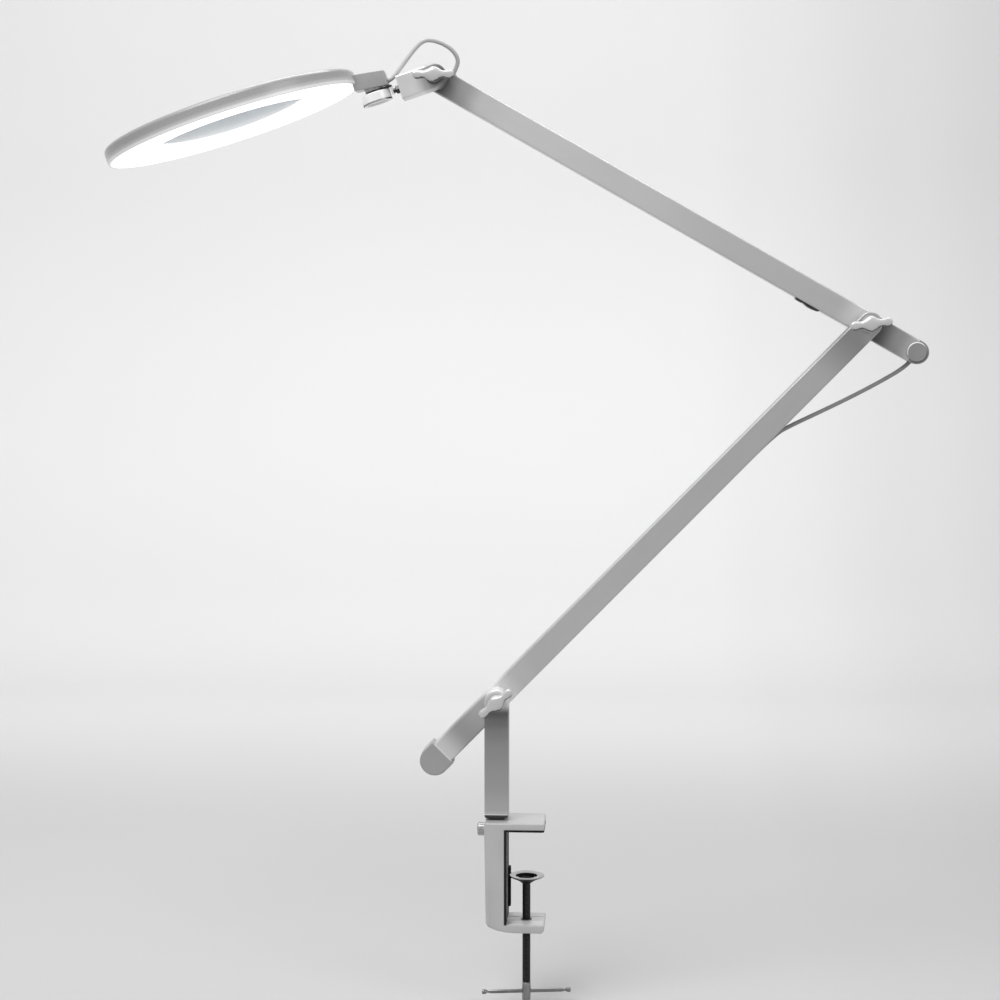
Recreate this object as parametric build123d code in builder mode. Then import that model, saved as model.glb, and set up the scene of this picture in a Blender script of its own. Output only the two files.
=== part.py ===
from build123d import *
import os
from math import cos, pi, radians, sin, tan

os.makedirs("parts", exist_ok=True)

# Magnifier lamp on a table clamp. Millimetres, +Z up, front of the lamp to -Y.
# The origin is on the clamp screw's axis, where the pad meets the table top.

# Square tube of the post, both arms and the tilt block
tube = 18.0
tube_wall = 1.3
tube_corner = 1.2
lower_length = 398.0
upper_length = 375.0
lower_angle = 45.6
upper_angle = 150.4
block_angle = 18.25
block_length = 27.9
fold_washer = 0.8
knob_washer = 1.0
running = 0.05
slack = 0.3

# Pivot hardware
bolt_radius = 3.0
bush_radius = 5.0
bolt_head_radius = 7.5
bolt_head_height = 3.2
bolt_in_knob = 8.0
washer_radius = 8.4
knob_washer_radius = 6.6
knob_hub_radius = 5.6
knob_span = 31.5
knob_bar = 6.6
knob_height = 10.0
knob_collar = 2.4
knob_crown = 1.4

# Clamp
jaw_reach = 14.1
spine_back = -31.4
spine_lean = 2.4
spine_inner = -16.0
clamp_depth = 38.0
clamp_wall = 2.6
jaw_gap = 71.5
pad_height = 1.3
top_jaw = 5.2
low_jaw = 6.2
strip_width = 7.0
strip_height = 32.0
strip_proud = 1.8
nut_radius = 7.0
nut_rise = 2.5
screw_radius = 2.95
screw_rest = 37.0
cup_radius = 13.6
cup_recess = 8.3
cup_height = 5.5
cup_neck = 4.4
cup_socket = 3.4
tip_radius = 2.2
tip_length = 4.0
screw_length = 88.6
boss_radius = 3.4
boss_length = 14.0
bar_radius = 1.5
bar_length = 64.0
bar_turn = 8.0
bar_ball = 2.5

# Post and its swivel
post_height = 97.5
post_x = -22.6
foot_height = 5.0
foot_edge = 1.0
foot_plug = 18.0
collar_radius = 6.35
collar_height = 1.7
spigot_radius = 4.0
spigot_depth = 19.0
sleeve_radius = 5.2
sleeve_depth = 20.5
set_knob_radius = 5.0
set_knob_length = 6.2
set_knob_teeth = 20
set_shank_radius = 2.0
set_drop = 8.5

# Lower arm
tail_start = 60.4
tail_round = 69.3
tail_radius = 11.4
tail_proud = 2.4
tail_front = 0.5
tail_wall = 2.2
groove_width = 3.8
groove_depth = 2.6
groove_wall = 1.2
groove_end = lower_length - 14.0
groove_join = lower_length - 134.0
lead_radius = 1.6
lead_sunk = 5.0
loop_right = -0.30541
loop_rear = 1.6
loop_rise = 30.51167
jack_radius = 4.0
jack_bore = 2.75
jack_pin = 1.0
jack_length = 9.0
jack_proud = 0.8

# Upper arm
cap_seam = 40.2
cap_round = 42.9
cap_disc_radius = 7.5
cap_disc_proud = 1.2
plug_length = 10.0
switch_place = 46.65
switch_length = 20.5
switch_width = 15.0
switch_bezel = 1.2
switch_depth = 9.0
rocker_half = 8.0
switch_lip = 0.6
trunnion_radius = 1.0
rocker_deep = 2.4
rocker_crown = 1.5
rocker_rest = 8.0
lead_hole_place = upper_length - 8.6

# Head
rim_to_pivot = 57.4197
head_over_pivot = 13.2638
head_roll = 1.0
head_radius = 99.0
head_height = 12.0
head_wall = 1.8
head_round = 3.0
lens_radius = 63.5
lens_edge = 2.4
lens_centre = 11.6
lens_seat = 5.0
seat_wall = 2.0
seat_lip = 2.2
diffuser_low = 0.5
diffuser_thick = 2.0
board_thick = 1.4
board_inner = 69.0
board_outer = head_radius - 5.0
led_count = 48
led_wide = 2.8
led_long = 3.5
led_tall = 0.8
led_ring = board_outer - 14.0
screw_count = 6
screw_ring = board_outer - 4.0
screw_shank = 1.2
screw_head = 2.4
screw_head_tall = 1.6
neck_width = 18.0
neck_tip = head_radius + 22.7
neck_root_low = -5.0
neck_tip_low = -8.2
neck_root_top = 7.4
neck_tip_top = 3.0
neck_root = head_radius - 3.0
flare_angle = 24.0

# Knuckle between tilt block and head
knuckle_at = neck_tip - 12.2
seat_level = -8.5
seat_radius = 7.0
eye_thick = 1.8
eye_radius = 7.0
stud_radius = 3.0
stud_inside = 12.0
strap_half = 4.0
nut_across = 10.0
nut_thick = 5.0
grip_radius = 11.5
grip_height = 8.0
grip_teeth = 30
grip_tooth = 0.7
grip_screw = 7.0

# Levels worked out from the sizes above
half = tube / 2
inner_half = half - tube_wall
post_front = -half
lower_front = half + fold_washer
lower_back = lower_front + tube
lower_middle = lower_front + half
upper_front = lower_back + fold_washer
upper_back = upper_front + tube
upper_middle = upper_front + half
bolt_length = 2 * tube + fold_washer + knob_washer + bolt_in_knob
clamp_top = pad_height + top_jaw
foot_bottom = clamp_top + collar_height
foot_top = foot_bottom + foot_height
low_jaw_top = -jaw_gap
low_jaw_bottom = -jaw_gap - low_jaw


def heading(angle):
    return Vector(cos(radians(angle)), 0, sin(radians(angle)))


base_pivot = Vector(post_x, 0, post_height)
elbow_pivot = base_pivot + heading(lower_angle) * lower_length
head_pivot = elbow_pivot + heading(upper_angle) * upper_length


def side_plane(pivot, level, angle):
    """A plane at depth `level`, seen from the front, with X along the member."""
    return Plane(origin=(pivot.X, level, pivot.Z), x_dir=heading(angle), z_dir=(0, -1, 0))


def turning_plane(pivot, level):
    """A half-section plane: X is the radius and Y runs forward along the pivot."""
    return Plane(origin=(pivot.X, level, pivot.Z), x_dir=(1, 0, 0), z_dir=(0, 0, -1))


def along_pivot(pivot):
    return Axis((pivot.X, 0, pivot.Z), (0, -1, 0))


def finish(piece, name):
    piece.part.label = name
    export_step(piece.part, "parts/" + name + ".step")


def corner_radii(points):
    """The largest arc that each corner's two runs allow."""
    radii = []
    for before, corner, after in zip(points, points[1:], points[2:]):
        first = Vector(*corner) - Vector(*before)
        second = Vector(*after) - Vector(*corner)
        turn = radians(first.get_angle(second))
        radii.append(0.45 * min(first.length, second.length) / tan(turn / 2))
    return radii


def lead_tube(name, points):
    """A round lead that runs straight and turns in tangent arcs."""
    radii = corner_radii(points)
    with BuildPart() as lead:
        with BuildLine() as route:
            FilletPolyline(*points, radius=radii)
        with BuildSketch(Plane(origin=route.line @ 0, z_dir=route.line % 0)):
            Circle(lead_radius)
        sweep(path=route.line)
    length = sum(edge.length for edge in route.edges())
    expected = pi * lead_radius**2 * length
    print(name, "radii", [round(r, 1) for r in radii], "length", round(length, 1))
    print(name, "volume over section times length", round(lead.part.volume / expected, 4))
    finish(lead, name)


# Pieces that more than one pivot uses


def square_tube(plane, open_end, round_end, bolt_places):
    """Square tube: cut square at one end, rounded about the pivot at the other."""
    with BuildPart() as body:
        with BuildSketch(plane):
            with BuildLine():
                Polyline((round_end, -half), (open_end, -half), (open_end, half), (round_end, half))
                ThreePointArc((round_end, half), (round_end + half, 0), (round_end, -half))
            make_face()
        extrude(amount=tube)
        cut_end = body.faces().sort_by(Axis(plane.origin, plane.x_dir))[0]
        rims = body.faces().filter_by(Axis.Y).edges()
        fillet([edge for edge in rims if edge not in cut_end.edges()], tube_corner)
        with BuildSketch(plane.offset(tube_wall)):
            with BuildLine():
                Polyline(
                    (round_end, -inner_half),
                    (open_end - 1, -inner_half),
                    (open_end - 1, inner_half),
                    (round_end, inner_half),
                )
                ThreePointArc(
                    (round_end, inner_half), (round_end + inner_half, 0), (round_end, -inner_half)
                )
            make_face()
        extrude(amount=tube - 2 * tube_wall, mode=Mode.SUBTRACT)
        with BuildSketch(plane):
            for place in bolt_places:
                with Locations((place, 0)):
                    Circle(bush_radius)
        extrude(amount=tube, mode=Mode.SUBTRACT)
    return body


def bushes(name, plane, bores):
    """Round spacers between the tube walls; each bore either grips or runs."""
    with BuildPart() as sleeve:
        with BuildSketch(plane):
            for place, bore in bores:
                with Locations((place, 0)):
                    Circle(bush_radius)
                    Circle(bore, mode=Mode.SUBTRACT)
        extrude(amount=tube)
    finish(sleeve, name)


def coach_bolt(name, pivot, back):
    """Domed head behind the rear tube, shank forward into the knob."""
    with BuildPart() as bolt:
        with BuildSketch(turning_plane(pivot, back)):
            with BuildLine():
                Polyline(
                    (bolt_head_radius, 0),
                    (bolt_radius, 0),
                    (bolt_radius, bolt_length - knob_crown / 2),
                    (bolt_radius - knob_crown / 2, bolt_length),
                    (0, bolt_length),
                    (0, -bolt_head_height),
                )
                RadiusArc(
                    (0, -bolt_head_height),
                    (bolt_head_radius, 0),
                    (bolt_head_radius**2 + bolt_head_height**2) / (2 * bolt_head_height),
                )
            make_face()
        revolve(axis=along_pivot(pivot))
    finish(bolt, name)


def flat_washer(name, pivot, back, outer, thickness):
    with BuildPart() as washer:
        with BuildSketch(side_plane(pivot, back, 0)):
            Circle(outer)
            Circle(bolt_radius + 2 * running, mode=Mode.SUBTRACT)
        extrude(amount=thickness)
    finish(washer, name)


def wing_knob(name, pivot, front, turn):
    """Two-winged clamping knob with a round collar and a blind bolt hole."""
    plane = side_plane(pivot, front, turn)
    with BuildPart() as knob:
        with BuildSketch(plane.offset(knob_collar)) as outline:
            SlotOverall(knob_span, knob_bar)
            Circle(knob_hub_radius)
            notches = outline.vertices().group_by(SortBy.DISTANCE)[0]
            fillet(notches, knob_hub_radius)
        extrude(amount=knob_height - knob_collar)
        fillet(knob.faces().sort_by(Axis.Y)[0].edges(), knob_crown)
        with BuildSketch(plane):
            Circle(knob_hub_radius - knob_crown / 2)
        extrude(amount=knob_collar)
        with BuildSketch(plane):
            Circle(bolt_radius + running)
        extrude(amount=bolt_in_knob + slack, mode=Mode.SUBTRACT)
    finish(knob, name)


# Table clamp: one channel bent round three sides of the jaw gap


def make_clamp_body():
    lean_top = (spine_back, clamp_top)
    lean_low = (spine_back + spine_lean, low_jaw_bottom + clamp_wall)
    with BuildPart() as clamp:
        with BuildSketch(Plane.XZ.offset(-clamp_depth / 2)):
            with BuildLine():
                Polyline(
                    lean_top,
                    lean_low,
                    (spine_back + spine_lean + clamp_wall, low_jaw_bottom),
                    (jaw_reach - clamp_wall, low_jaw_bottom),
                    (jaw_reach, low_jaw_bottom + clamp_wall),
                    (jaw_reach, low_jaw_top),
                    (spine_inner, low_jaw_top),
                    (spine_inner, pad_height),
                    (jaw_reach, pad_height),
                    (jaw_reach, clamp_top),
                    close=True,
                )
            make_face()
        extrude(amount=clamp_depth)
        outer = clamp.faces().filter_by(Axis.Y).edges()
        fillet(outer, clamp_wall / 3)
        pocket = clamp_depth - 2 * clamp_wall
        socket_low = clamp_top - sleeve_depth - clamp_wall
        with BuildSketch(Plane.XZ.offset(-pocket / 2)):
            with BuildLine():
                Polyline(
                    (spine_back + spine_lean + clamp_wall, socket_low),
                    (spine_back + spine_lean + clamp_wall, low_jaw_bottom + clamp_wall),
                    (jaw_reach - clamp_wall, low_jaw_bottom + clamp_wall),
                    (jaw_reach - clamp_wall, low_jaw_top + 1),
                    (spine_inner + 1, low_jaw_top + 1),
                    (spine_inner + 1, socket_low),
                    close=True,
                )
            make_face()
        extrude(amount=pocket, mode=Mode.SUBTRACT)
        with BuildSketch(Plane.XZ.offset(-pocket / 2)):
            with Locations(((spine_inner + jaw_reach) / 2, pad_height)):
                Rectangle(jaw_reach - spine_inner - 2 * clamp_wall, 2 * (top_jaw - clamp_wall))
        extrude(amount=pocket, mode=Mode.SUBTRACT)
        with BuildSketch(Plane.XY.offset(clamp_top - sleeve_depth)):
            with Locations((post_x, 0)):
                Circle(sleeve_radius)
        extrude(amount=sleeve_depth, mode=Mode.SUBTRACT)
        with BuildSketch(Plane.YZ.offset(spine_back - clamp_wall)):
            with Locations((0, clamp_top - set_drop)):
                Circle(set_shank_radius + running)
        extrude(amount=post_x - sleeve_radius / 2 - spine_back + clamp_wall, mode=Mode.SUBTRACT)
        with BuildSketch(Plane.XY.offset(low_jaw_bottom)):
            Circle(nut_radius)
        extrude(amount=clamp_wall, mode=Mode.SUBTRACT)
    finish(clamp, "clamp_body")


def make_jaw_pad():
    with BuildPart() as pad:
        with BuildSketch(Plane.XY):
            with Locations(((spine_inner + jaw_reach) / 2, 0)):
                RectangleRounded(jaw_reach - spine_inner, clamp_depth, clamp_wall)
        extrude(amount=pad_height)
    finish(pad, "jaw_pad")


def make_spine_strip():
    with BuildPart() as strip:
        with BuildSketch(Plane.YZ.offset(spine_inner)):
            with Locations(((clamp_depth - strip_width) / 2, low_jaw_top + strip_height / 2 + 4)):
                Rectangle(strip_width, strip_height)
        extrude(amount=strip_proud)
        fillet(strip.faces().sort_by(Axis.X)[-1].edges(), strip_proud / 3)
    finish(strip, "spine_strip")


def make_clamp_nut():
    with BuildPart() as nut:
        with BuildSketch(Plane.XY.offset(low_jaw_bottom)):
            Circle(nut_radius)
            Circle(screw_radius + running, mode=Mode.SUBTRACT)
        extrude(amount=low_jaw + nut_rise)
        chamfer(nut.faces().sort_by(Axis.Z)[-1].outer_wire().edges(), nut_rise / 4)
    finish(nut, "clamp_nut")


def make_swivel_sleeve():
    with BuildPart() as sleeve:
        with BuildSketch(Plane.XY.offset(clamp_top - sleeve_depth)):
            with Locations((post_x, 0)):
                Circle(sleeve_radius)
        extrude(amount=sleeve_depth)
        with BuildSketch(Plane.XY.offset(clamp_top)):
            with Locations((post_x, 0)):
                Circle(collar_radius)
        extrude(amount=collar_height)
        with BuildSketch(Plane.XY.offset(clamp_top - sleeve_depth)):
            with Locations((post_x, 0)):
                Circle(spigot_radius + running)
        extrude(amount=sleeve_depth + collar_height, mode=Mode.SUBTRACT)
        with BuildSketch(Plane.YZ.offset(spine_back)):
            with Locations((0, clamp_top - set_drop)):
                Circle(set_shank_radius + running)
        extrude(amount=post_x - spine_back, mode=Mode.SUBTRACT)
    finish(sleeve, "swivel_sleeve")


def make_set_screw():
    lean = spine_lean * set_drop / (clamp_top - low_jaw_bottom)
    seat = spine_back + lean
    with BuildPart() as screw:
        with BuildSketch(Plane.YZ.offset(seat - set_knob_length)):
            with Locations((0, clamp_top - set_drop)):
                Circle(set_knob_radius)
        extrude(amount=set_knob_length - slack)
        chamfer(screw.faces().sort_by(Axis.X)[0].edges(), grip_tooth)
        with BuildSketch(Plane.YZ.offset(seat - set_knob_length)):
            with Locations((0, clamp_top - set_drop)):
                with PolarLocations(set_knob_radius, set_knob_teeth):
                    Circle(grip_tooth / 2)
        extrude(amount=set_knob_length - slack, mode=Mode.SUBTRACT)
        with BuildSketch(Plane.YZ.offset(seat - slack)):
            with Locations((0, clamp_top - set_drop)):
                Circle(set_shank_radius)
        extrude(amount=post_x - spigot_radius - slack - seat + slack)
    finish(screw, "set_screw")


def make_pressure_cup():
    rim = -screw_rest
    base = rim - cup_height
    with BuildPart() as cup:
        with BuildSketch(Plane.XZ):
            with BuildLine():
                Polyline(
                    (0, rim - 1.6),
                    (cup_recess - 1.2, rim - 1.6),
                    (cup_recess, rim - 0.6),
                    (cup_radius - 0.8, rim),
                    (cup_radius, rim - 0.6),
                    (cup_radius - 0.6, rim - 1.4),
                    (cup_neck + 1.8, base + 0.8),
                    (cup_neck, base),
                    (cup_neck, base - cup_socket),
                    (tip_radius + running, base - cup_socket),
                    (tip_radius + running, base - cup_socket + tip_length),
                    (0, base - cup_socket + tip_length),
                    close=True,
                )
            make_face()
        revolve(axis=Axis.Z)
    finish(cup, "pressure_cup")


def make_clamp_screw():
    shoulder = -screw_rest - cup_height - cup_socket
    bottom = shoulder - screw_length
    with BuildPart() as screw:
        with BuildSketch(Plane.XZ):
            with BuildLine():
                Polyline(
                    (0, shoulder + tip_length - running),
                    (tip_radius, shoulder + tip_length - running),
                    (tip_radius, shoulder),
                    (screw_radius, shoulder),
                    (screw_radius, bottom + boss_length),
                    (boss_radius, bottom + boss_length - 0.6),
                    (boss_radius, bottom + 0.6),
                    (boss_radius - 0.6, bottom),
                    (0, bottom),
                    close=True,
                )
            make_face()
        revolve(axis=Axis.Z)
        with BuildSketch(bar_plane()):
            Circle(bar_radius + running)
        extrude(amount=2 * boss_radius, both=True, mode=Mode.SUBTRACT)
    finish(screw, "clamp_screw")


def bar_plane():
    """Across the cross-hole in the screw's boss, square to the tommy bar."""
    level = -screw_rest - cup_height - cup_socket - screw_length + boss_length / 2
    across = (cos(radians(bar_turn)), sin(radians(bar_turn)), 0)
    return Plane(origin=(0, 0, level), x_dir=(0, 0, 1), z_dir=across)


def make_tommy_bar():
    plane = bar_plane()
    with BuildPart() as bar:
        with BuildSketch(plane.offset(-bar_length / 2)):
            Circle(bar_radius)
        extrude(amount=bar_length)
        with BuildSketch(Plane(origin=plane.origin, x_dir=plane.z_dir, z_dir=plane.x_dir)):
            for end in (-bar_length / 2, bar_length / 2):
                with BuildLine():
                    Line((end - bar_ball, 0), (end + bar_ball, 0))
                    ThreePointArc((end - bar_ball, 0), (end, bar_ball), (end + bar_ball, 0))
                make_face()
        revolve(axis=Axis(plane.origin, plane.z_dir))
    finish(bar, "tommy_bar")


# Post


def make_post():
    plane = side_plane(base_pivot, half, 90)
    body = square_tube(plane, foot_top - post_height, 0, [0])
    finish(body, "post_tube")
    bushes("post_bush", plane, [(0, bolt_radius + running)])


def make_post_foot():
    with BuildPart() as foot:
        with BuildSketch(Plane.XY.offset(foot_bottom)):
            with Locations((post_x, 0)):
                RectangleRounded(tube, tube, tube_corner)
        extrude(amount=foot_height)
        chamfer(foot.faces().sort_by(Axis.Z)[0].edges(), foot_edge)
        with BuildSketch(Plane.XY.offset(foot_top)):
            with Locations((post_x, 0)):
                Rectangle(2 * inner_half, 2 * inner_half)
        extrude(amount=foot_plug)
        with BuildSketch(Plane.XY.offset(foot_bottom)):
            with Locations((post_x, 0)):
                Circle(spigot_radius)
        extrude(amount=foot_height + foot_plug - tube_wall, mode=Mode.SUBTRACT)
    finish(foot, "post_foot")


def make_spigot():
    with BuildPart() as spigot:
        with BuildSketch(Plane.XY.offset(clamp_top - spigot_depth)):
            with Locations((post_x, 0)):
                Circle(spigot_radius)
        extrude(amount=spigot_depth + collar_height + foot_height + foot_plug - tube_wall)
        chamfer(spigot.faces().sort_by(Axis.Z)[0].edges(), running * 10)
    finish(spigot, "spigot")


# Lower arm


def groove_plane(place):
    """Square to the lower arm, X to the rear, Y away from the underside."""
    along = heading(lower_angle)
    origin = Vector(base_pivot.X, lower_middle, base_pivot.Z) + along * place
    return Plane(origin=origin, x_dir=(0, 1, 0), z_dir=along)


def groove_outline(width, depth):
    """A slot with a round floor, sunk from the underside of the arm."""
    with Locations((0, -half + depth - width / 2)):
        Circle(width / 2)
    with Locations((0, -half + (depth - width / 2) / 2 - 1)):
        Rectangle(width, depth - width / 2 + 2)


def make_lower_arm():
    plane = side_plane(base_pivot, lower_back, lower_angle)
    blank = square_tube(plane, -tail_round, lower_length, [0, lower_length])
    ridge_width = groove_width + 2 * groove_wall
    with BuildPart() as arm:
        add(blank.part)
        with BuildSketch(groove_plane(-tail_round)):
            with Locations((0, -half + tube_wall / 2 + (groove_depth + groove_wall) / 2)):
                Rectangle(ridge_width, groove_depth + groove_wall - tube_wall)
        extrude(amount=groove_end + groove_wall + tail_round)
        with BuildSketch(groove_plane(-tail_round)):
            groove_outline(groove_width, groove_depth)
        extrude(amount=groove_end + tail_round, mode=Mode.SUBTRACT)
    finish(arm, "lower_arm_tube")
    bores = [(0, bolt_radius), (lower_length, bolt_radius + running)]
    bushes("lower_arm_bushes", plane, bores)


def make_tail_cap():
    front = lower_front - tail_front
    back = lower_back + tail_proud
    plane = side_plane(base_pivot, back, lower_angle)
    with BuildPart() as cap:
        with BuildSketch(plane):
            with BuildLine():
                Polyline(
                    (-tail_round, tail_radius),
                    (-tail_start, tail_radius),
                    (-tail_start, -tail_radius),
                    (-tail_round, -tail_radius),
                )
                ThreePointArc(
                    (-tail_round, -tail_radius),
                    (-tail_round - tail_radius, 0),
                    (-tail_round, tail_radius),
                )
            make_face()
        extrude(amount=back - front)
        fillet(cap.faces().filter_by(Axis.Y).edges(), tube_corner)
        with BuildSketch(groove_plane(-tail_round)):
            RectangleRounded(tube, tube, tube_corner)
        extrude(amount=tail_round, mode=Mode.SUBTRACT)
        with BuildSketch(groove_plane(-tail_round)):
            groove_outline(groove_width, groove_depth)
        extrude(amount=tail_round, mode=Mode.SUBTRACT)
        with BuildSketch(groove_plane(-tail_round)):
            Rectangle(tube - 2 * tail_wall, tube - 2 * tail_wall)
        extrude(amount=-(tail_radius - tail_wall), mode=Mode.SUBTRACT)
        with BuildSketch(groove_plane(-tail_round)):
            Circle(jack_radius)
        extrude(amount=-2 * tail_radius, mode=Mode.SUBTRACT)
    finish(cap, "tail_cap")


def make_power_inlet():
    mouth = -tail_round - tail_radius - jack_proud
    with BuildPart() as jack:
        with BuildSketch(groove_plane(mouth)):
            Circle(jack_radius)
        extrude(amount=jack_length + jack_proud)
        chamfer(jack.faces().group_by(Axis.Z)[0].edges(), jack_proud / 4)
        with BuildSketch(groove_plane(mouth)):
            Circle(jack_bore)
            Circle(jack_pin, mode=Mode.SUBTRACT)
        extrude(amount=jack_length - jack_pin, mode=Mode.SUBTRACT)
    finish(jack, "power_inlet")


# Upper arm


def make_upper_arm():
    plane = side_plane(elbow_pivot, upper_back, upper_angle)
    blank = square_tube(plane, -cap_seam, upper_length, [0, upper_length])
    with BuildPart() as arm:
        add(blank.part)
        with BuildSketch(switch_plane(half)):
            Rectangle(switch_length - 2 * switch_lip, switch_width - 2 * switch_lip)
        extrude(amount=-2 * tube_wall, mode=Mode.SUBTRACT)
        with BuildSketch(arm_top_plane(lead_hole_place)):
            Circle(lead_radius + tube_wall / 2)
        extrude(amount=-2 * tube_wall, mode=Mode.SUBTRACT)
    finish(arm, "upper_arm_tube")
    bores = [(0, bolt_radius), (upper_length, bolt_radius)]
    bushes("upper_arm_bushes", plane, bores)


def arm_point(place, across, level):
    """A point of the upper arm: distance from the elbow, and height below its axis."""
    along = heading(upper_angle)
    down = heading(upper_angle + 90)
    origin = Vector(elbow_pivot.X, level, elbow_pivot.Z)
    return origin + along * place + down * across


def switch_plane(across):
    """On the underside of the upper arm, X towards the head, Z outwards."""
    origin = arm_point(switch_place, across, upper_middle)
    return Plane(origin=origin, x_dir=heading(upper_angle), z_dir=heading(upper_angle + 90))


def arm_top_plane(place):
    """On the top of the upper arm, Z outwards."""
    origin = arm_point(place, -half, upper_middle)
    return Plane(origin=origin, x_dir=heading(upper_angle), z_dir=-heading(upper_angle + 90))


def make_elbow_cap():
    plane = side_plane(elbow_pivot, upper_back, upper_angle)
    mouth_plane = Plane(
        origin=arm_point(-cap_seam, 0, upper_middle), x_dir=(0, 1, 0), z_dir=heading(upper_angle)
    )
    with BuildPart() as cap:
        with BuildSketch(plane):
            with BuildLine():
                Polyline(
                    (-cap_round, half), (-cap_seam, half), (-cap_seam, -half), (-cap_round, -half)
                )
                ThreePointArc((-cap_round, -half), (-cap_round - half, 0), (-cap_round, half))
            make_face()
        extrude(amount=tube)
        with BuildSketch(plane.offset(tube)):
            with Locations((-cap_round, 0)):
                Circle(cap_disc_radius)
        extrude(amount=cap_disc_proud)
        chamfer(cap.faces().sort_by(Axis.Y)[0].edges(), cap_disc_proud / 2)
        with BuildSketch(mouth_plane):
            Rectangle(2 * inner_half, 2 * inner_half)
        extrude(amount=plug_length)
        with BuildSketch(Plane(origin=elbow_lead_start(), z_dir=heading(upper_angle + 90))):
            Circle(lead_radius + running)
        extrude(amount=lead_sunk, both=True, mode=Mode.SUBTRACT)
    finish(cap, "elbow_cap")


def elbow_lead_start():
    """Where the lead leaves the underside of the elbow cap, square to it."""
    return arm_point(-cap_round, half, upper_middle)


def make_switch():
    plane = switch_plane(half)
    inside = switch_width - 2 * switch_lip - 2 * trunnion_radius
    with BuildPart() as housing:
        with BuildSketch(plane):
            RectangleRounded(switch_length, switch_width, tube_corner)
        extrude(amount=switch_bezel)
        chamfer(housing.faces().sort_by(Axis(plane.origin, plane.z_dir))[-1].edges(), switch_bezel / 2)
        with BuildSketch(plane):
            Rectangle(switch_length - 2 * switch_lip, switch_width - 2 * switch_lip)
        extrude(amount=-switch_depth)
        with BuildSketch(plane.offset(switch_bezel)):
            Rectangle(2 * (rocker_half + 3 * slack), inside)
        extrude(amount=-switch_bezel - switch_depth / 2, mode=Mode.SUBTRACT)
        with BuildSketch(side_plane(plane.origin, upper_middle, upper_angle)):
            Circle(trunnion_radius + running)
        extrude(amount=inside / 2 + trunnion_radius, both=True, mode=Mode.SUBTRACT)
    finish(housing, "switch_housing")
    rocker_plane = side_plane(plane.origin, upper_middle, upper_angle - rocker_rest)
    with BuildPart() as rocker:
        with BuildSketch(rocker_plane):
            with BuildLine():
                Polyline(
                    (-rocker_half, slack),
                    (-rocker_half, -rocker_deep),
                    (rocker_half, -rocker_deep),
                    (rocker_half, slack),
                )
                ThreePointArc((rocker_half, slack), (0, rocker_crown + slack), (-rocker_half, slack))
            make_face()
        extrude(amount=inside / 2 - slack, both=True)
        with BuildSketch(rocker_plane):
            Circle(trunnion_radius)
        extrude(amount=inside / 2 + trunnion_radius - slack, both=True)
    finish(rocker, "switch_rocker")


def make_arm_grommet():
    with BuildPart() as grommet:
        with BuildSketch(arm_top_plane(lead_hole_place)):
            Circle(lead_radius + tube_wall)
        extrude(amount=fold_washer)
        with BuildSketch(arm_top_plane(lead_hole_place)):
            Circle(lead_radius + tube_wall / 2)
        extrude(amount=-tube_wall)
        with BuildSketch(arm_top_plane(lead_hole_place).offset(fold_washer)):
            Circle(lead_radius)
        extrude(amount=-fold_washer - tube_wall, mode=Mode.SUBTRACT)
    finish(grommet, "arm_grommet")


# Tilt block


def make_tilt_block():
    plane = side_plane(head_pivot, lower_back, block_angle)
    body = square_tube(plane, -block_length, 0, [0])
    finish(body, "tilt_block")
    bushes("tilt_bush", plane, [(0, bolt_radius + running)])


def stud_plane(place):
    """Square to the tilt block's axis, at a distance from the pivot."""
    along = heading(block_angle)
    origin = Vector(head_pivot.X, lower_middle, head_pivot.Z) - along * place
    return Plane(origin=origin, x_dir=(0, 1, 0), z_dir=-along)


def make_block_plug():
    with BuildPart() as plug:
        with BuildSketch(stud_plane(block_length)):
            Rectangle(2 * inner_half, 2 * inner_half)
            Circle(stud_radius + running, mode=Mode.SUBTRACT)
        extrude(amount=-stud_inside)
    finish(plug, "block_plug")


# Head


def head_frame():
    """Head directions: towards the arm, to the rear, and up through the lens."""
    lean = radians(block_angle)
    roll = radians(head_roll)
    to_arm = Vector(cos(lean), 0, sin(lean))
    upright = Vector(-sin(lean), 0, cos(lean))
    rear = Vector(0, 1, 0)
    normal = upright * cos(roll) - rear * sin(roll)
    across = rear * cos(roll) + upright * sin(roll)
    return to_arm, across, normal


to_arm, head_across, head_normal = head_frame()
head_upright = Vector(-sin(radians(block_angle)), 0, cos(radians(block_angle)))
head_hinge = Vector(head_pivot.X, lower_middle, head_pivot.Z)
head_centre = head_hinge - to_arm * (head_radius + rim_to_pivot) + head_upright * head_over_pivot


def head_plane(level):
    """Parallel to the lens, at a height over the light's underside."""
    return Plane(origin=head_centre + head_normal * level, x_dir=to_arm, z_dir=head_normal)


def head_side():
    """Through the middle of head and neck: X towards the arm, Y up through the lens."""
    return Plane(origin=head_centre, x_dir=to_arm, z_dir=-head_across)


def head_ring(low, thickness, outer, inner):
    with BuildPart() as ring:
        with BuildSketch(head_plane(low)):
            Circle(outer)
            Circle(inner, mode=Mode.SUBTRACT)
        extrude(amount=thickness)
    return ring


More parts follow.
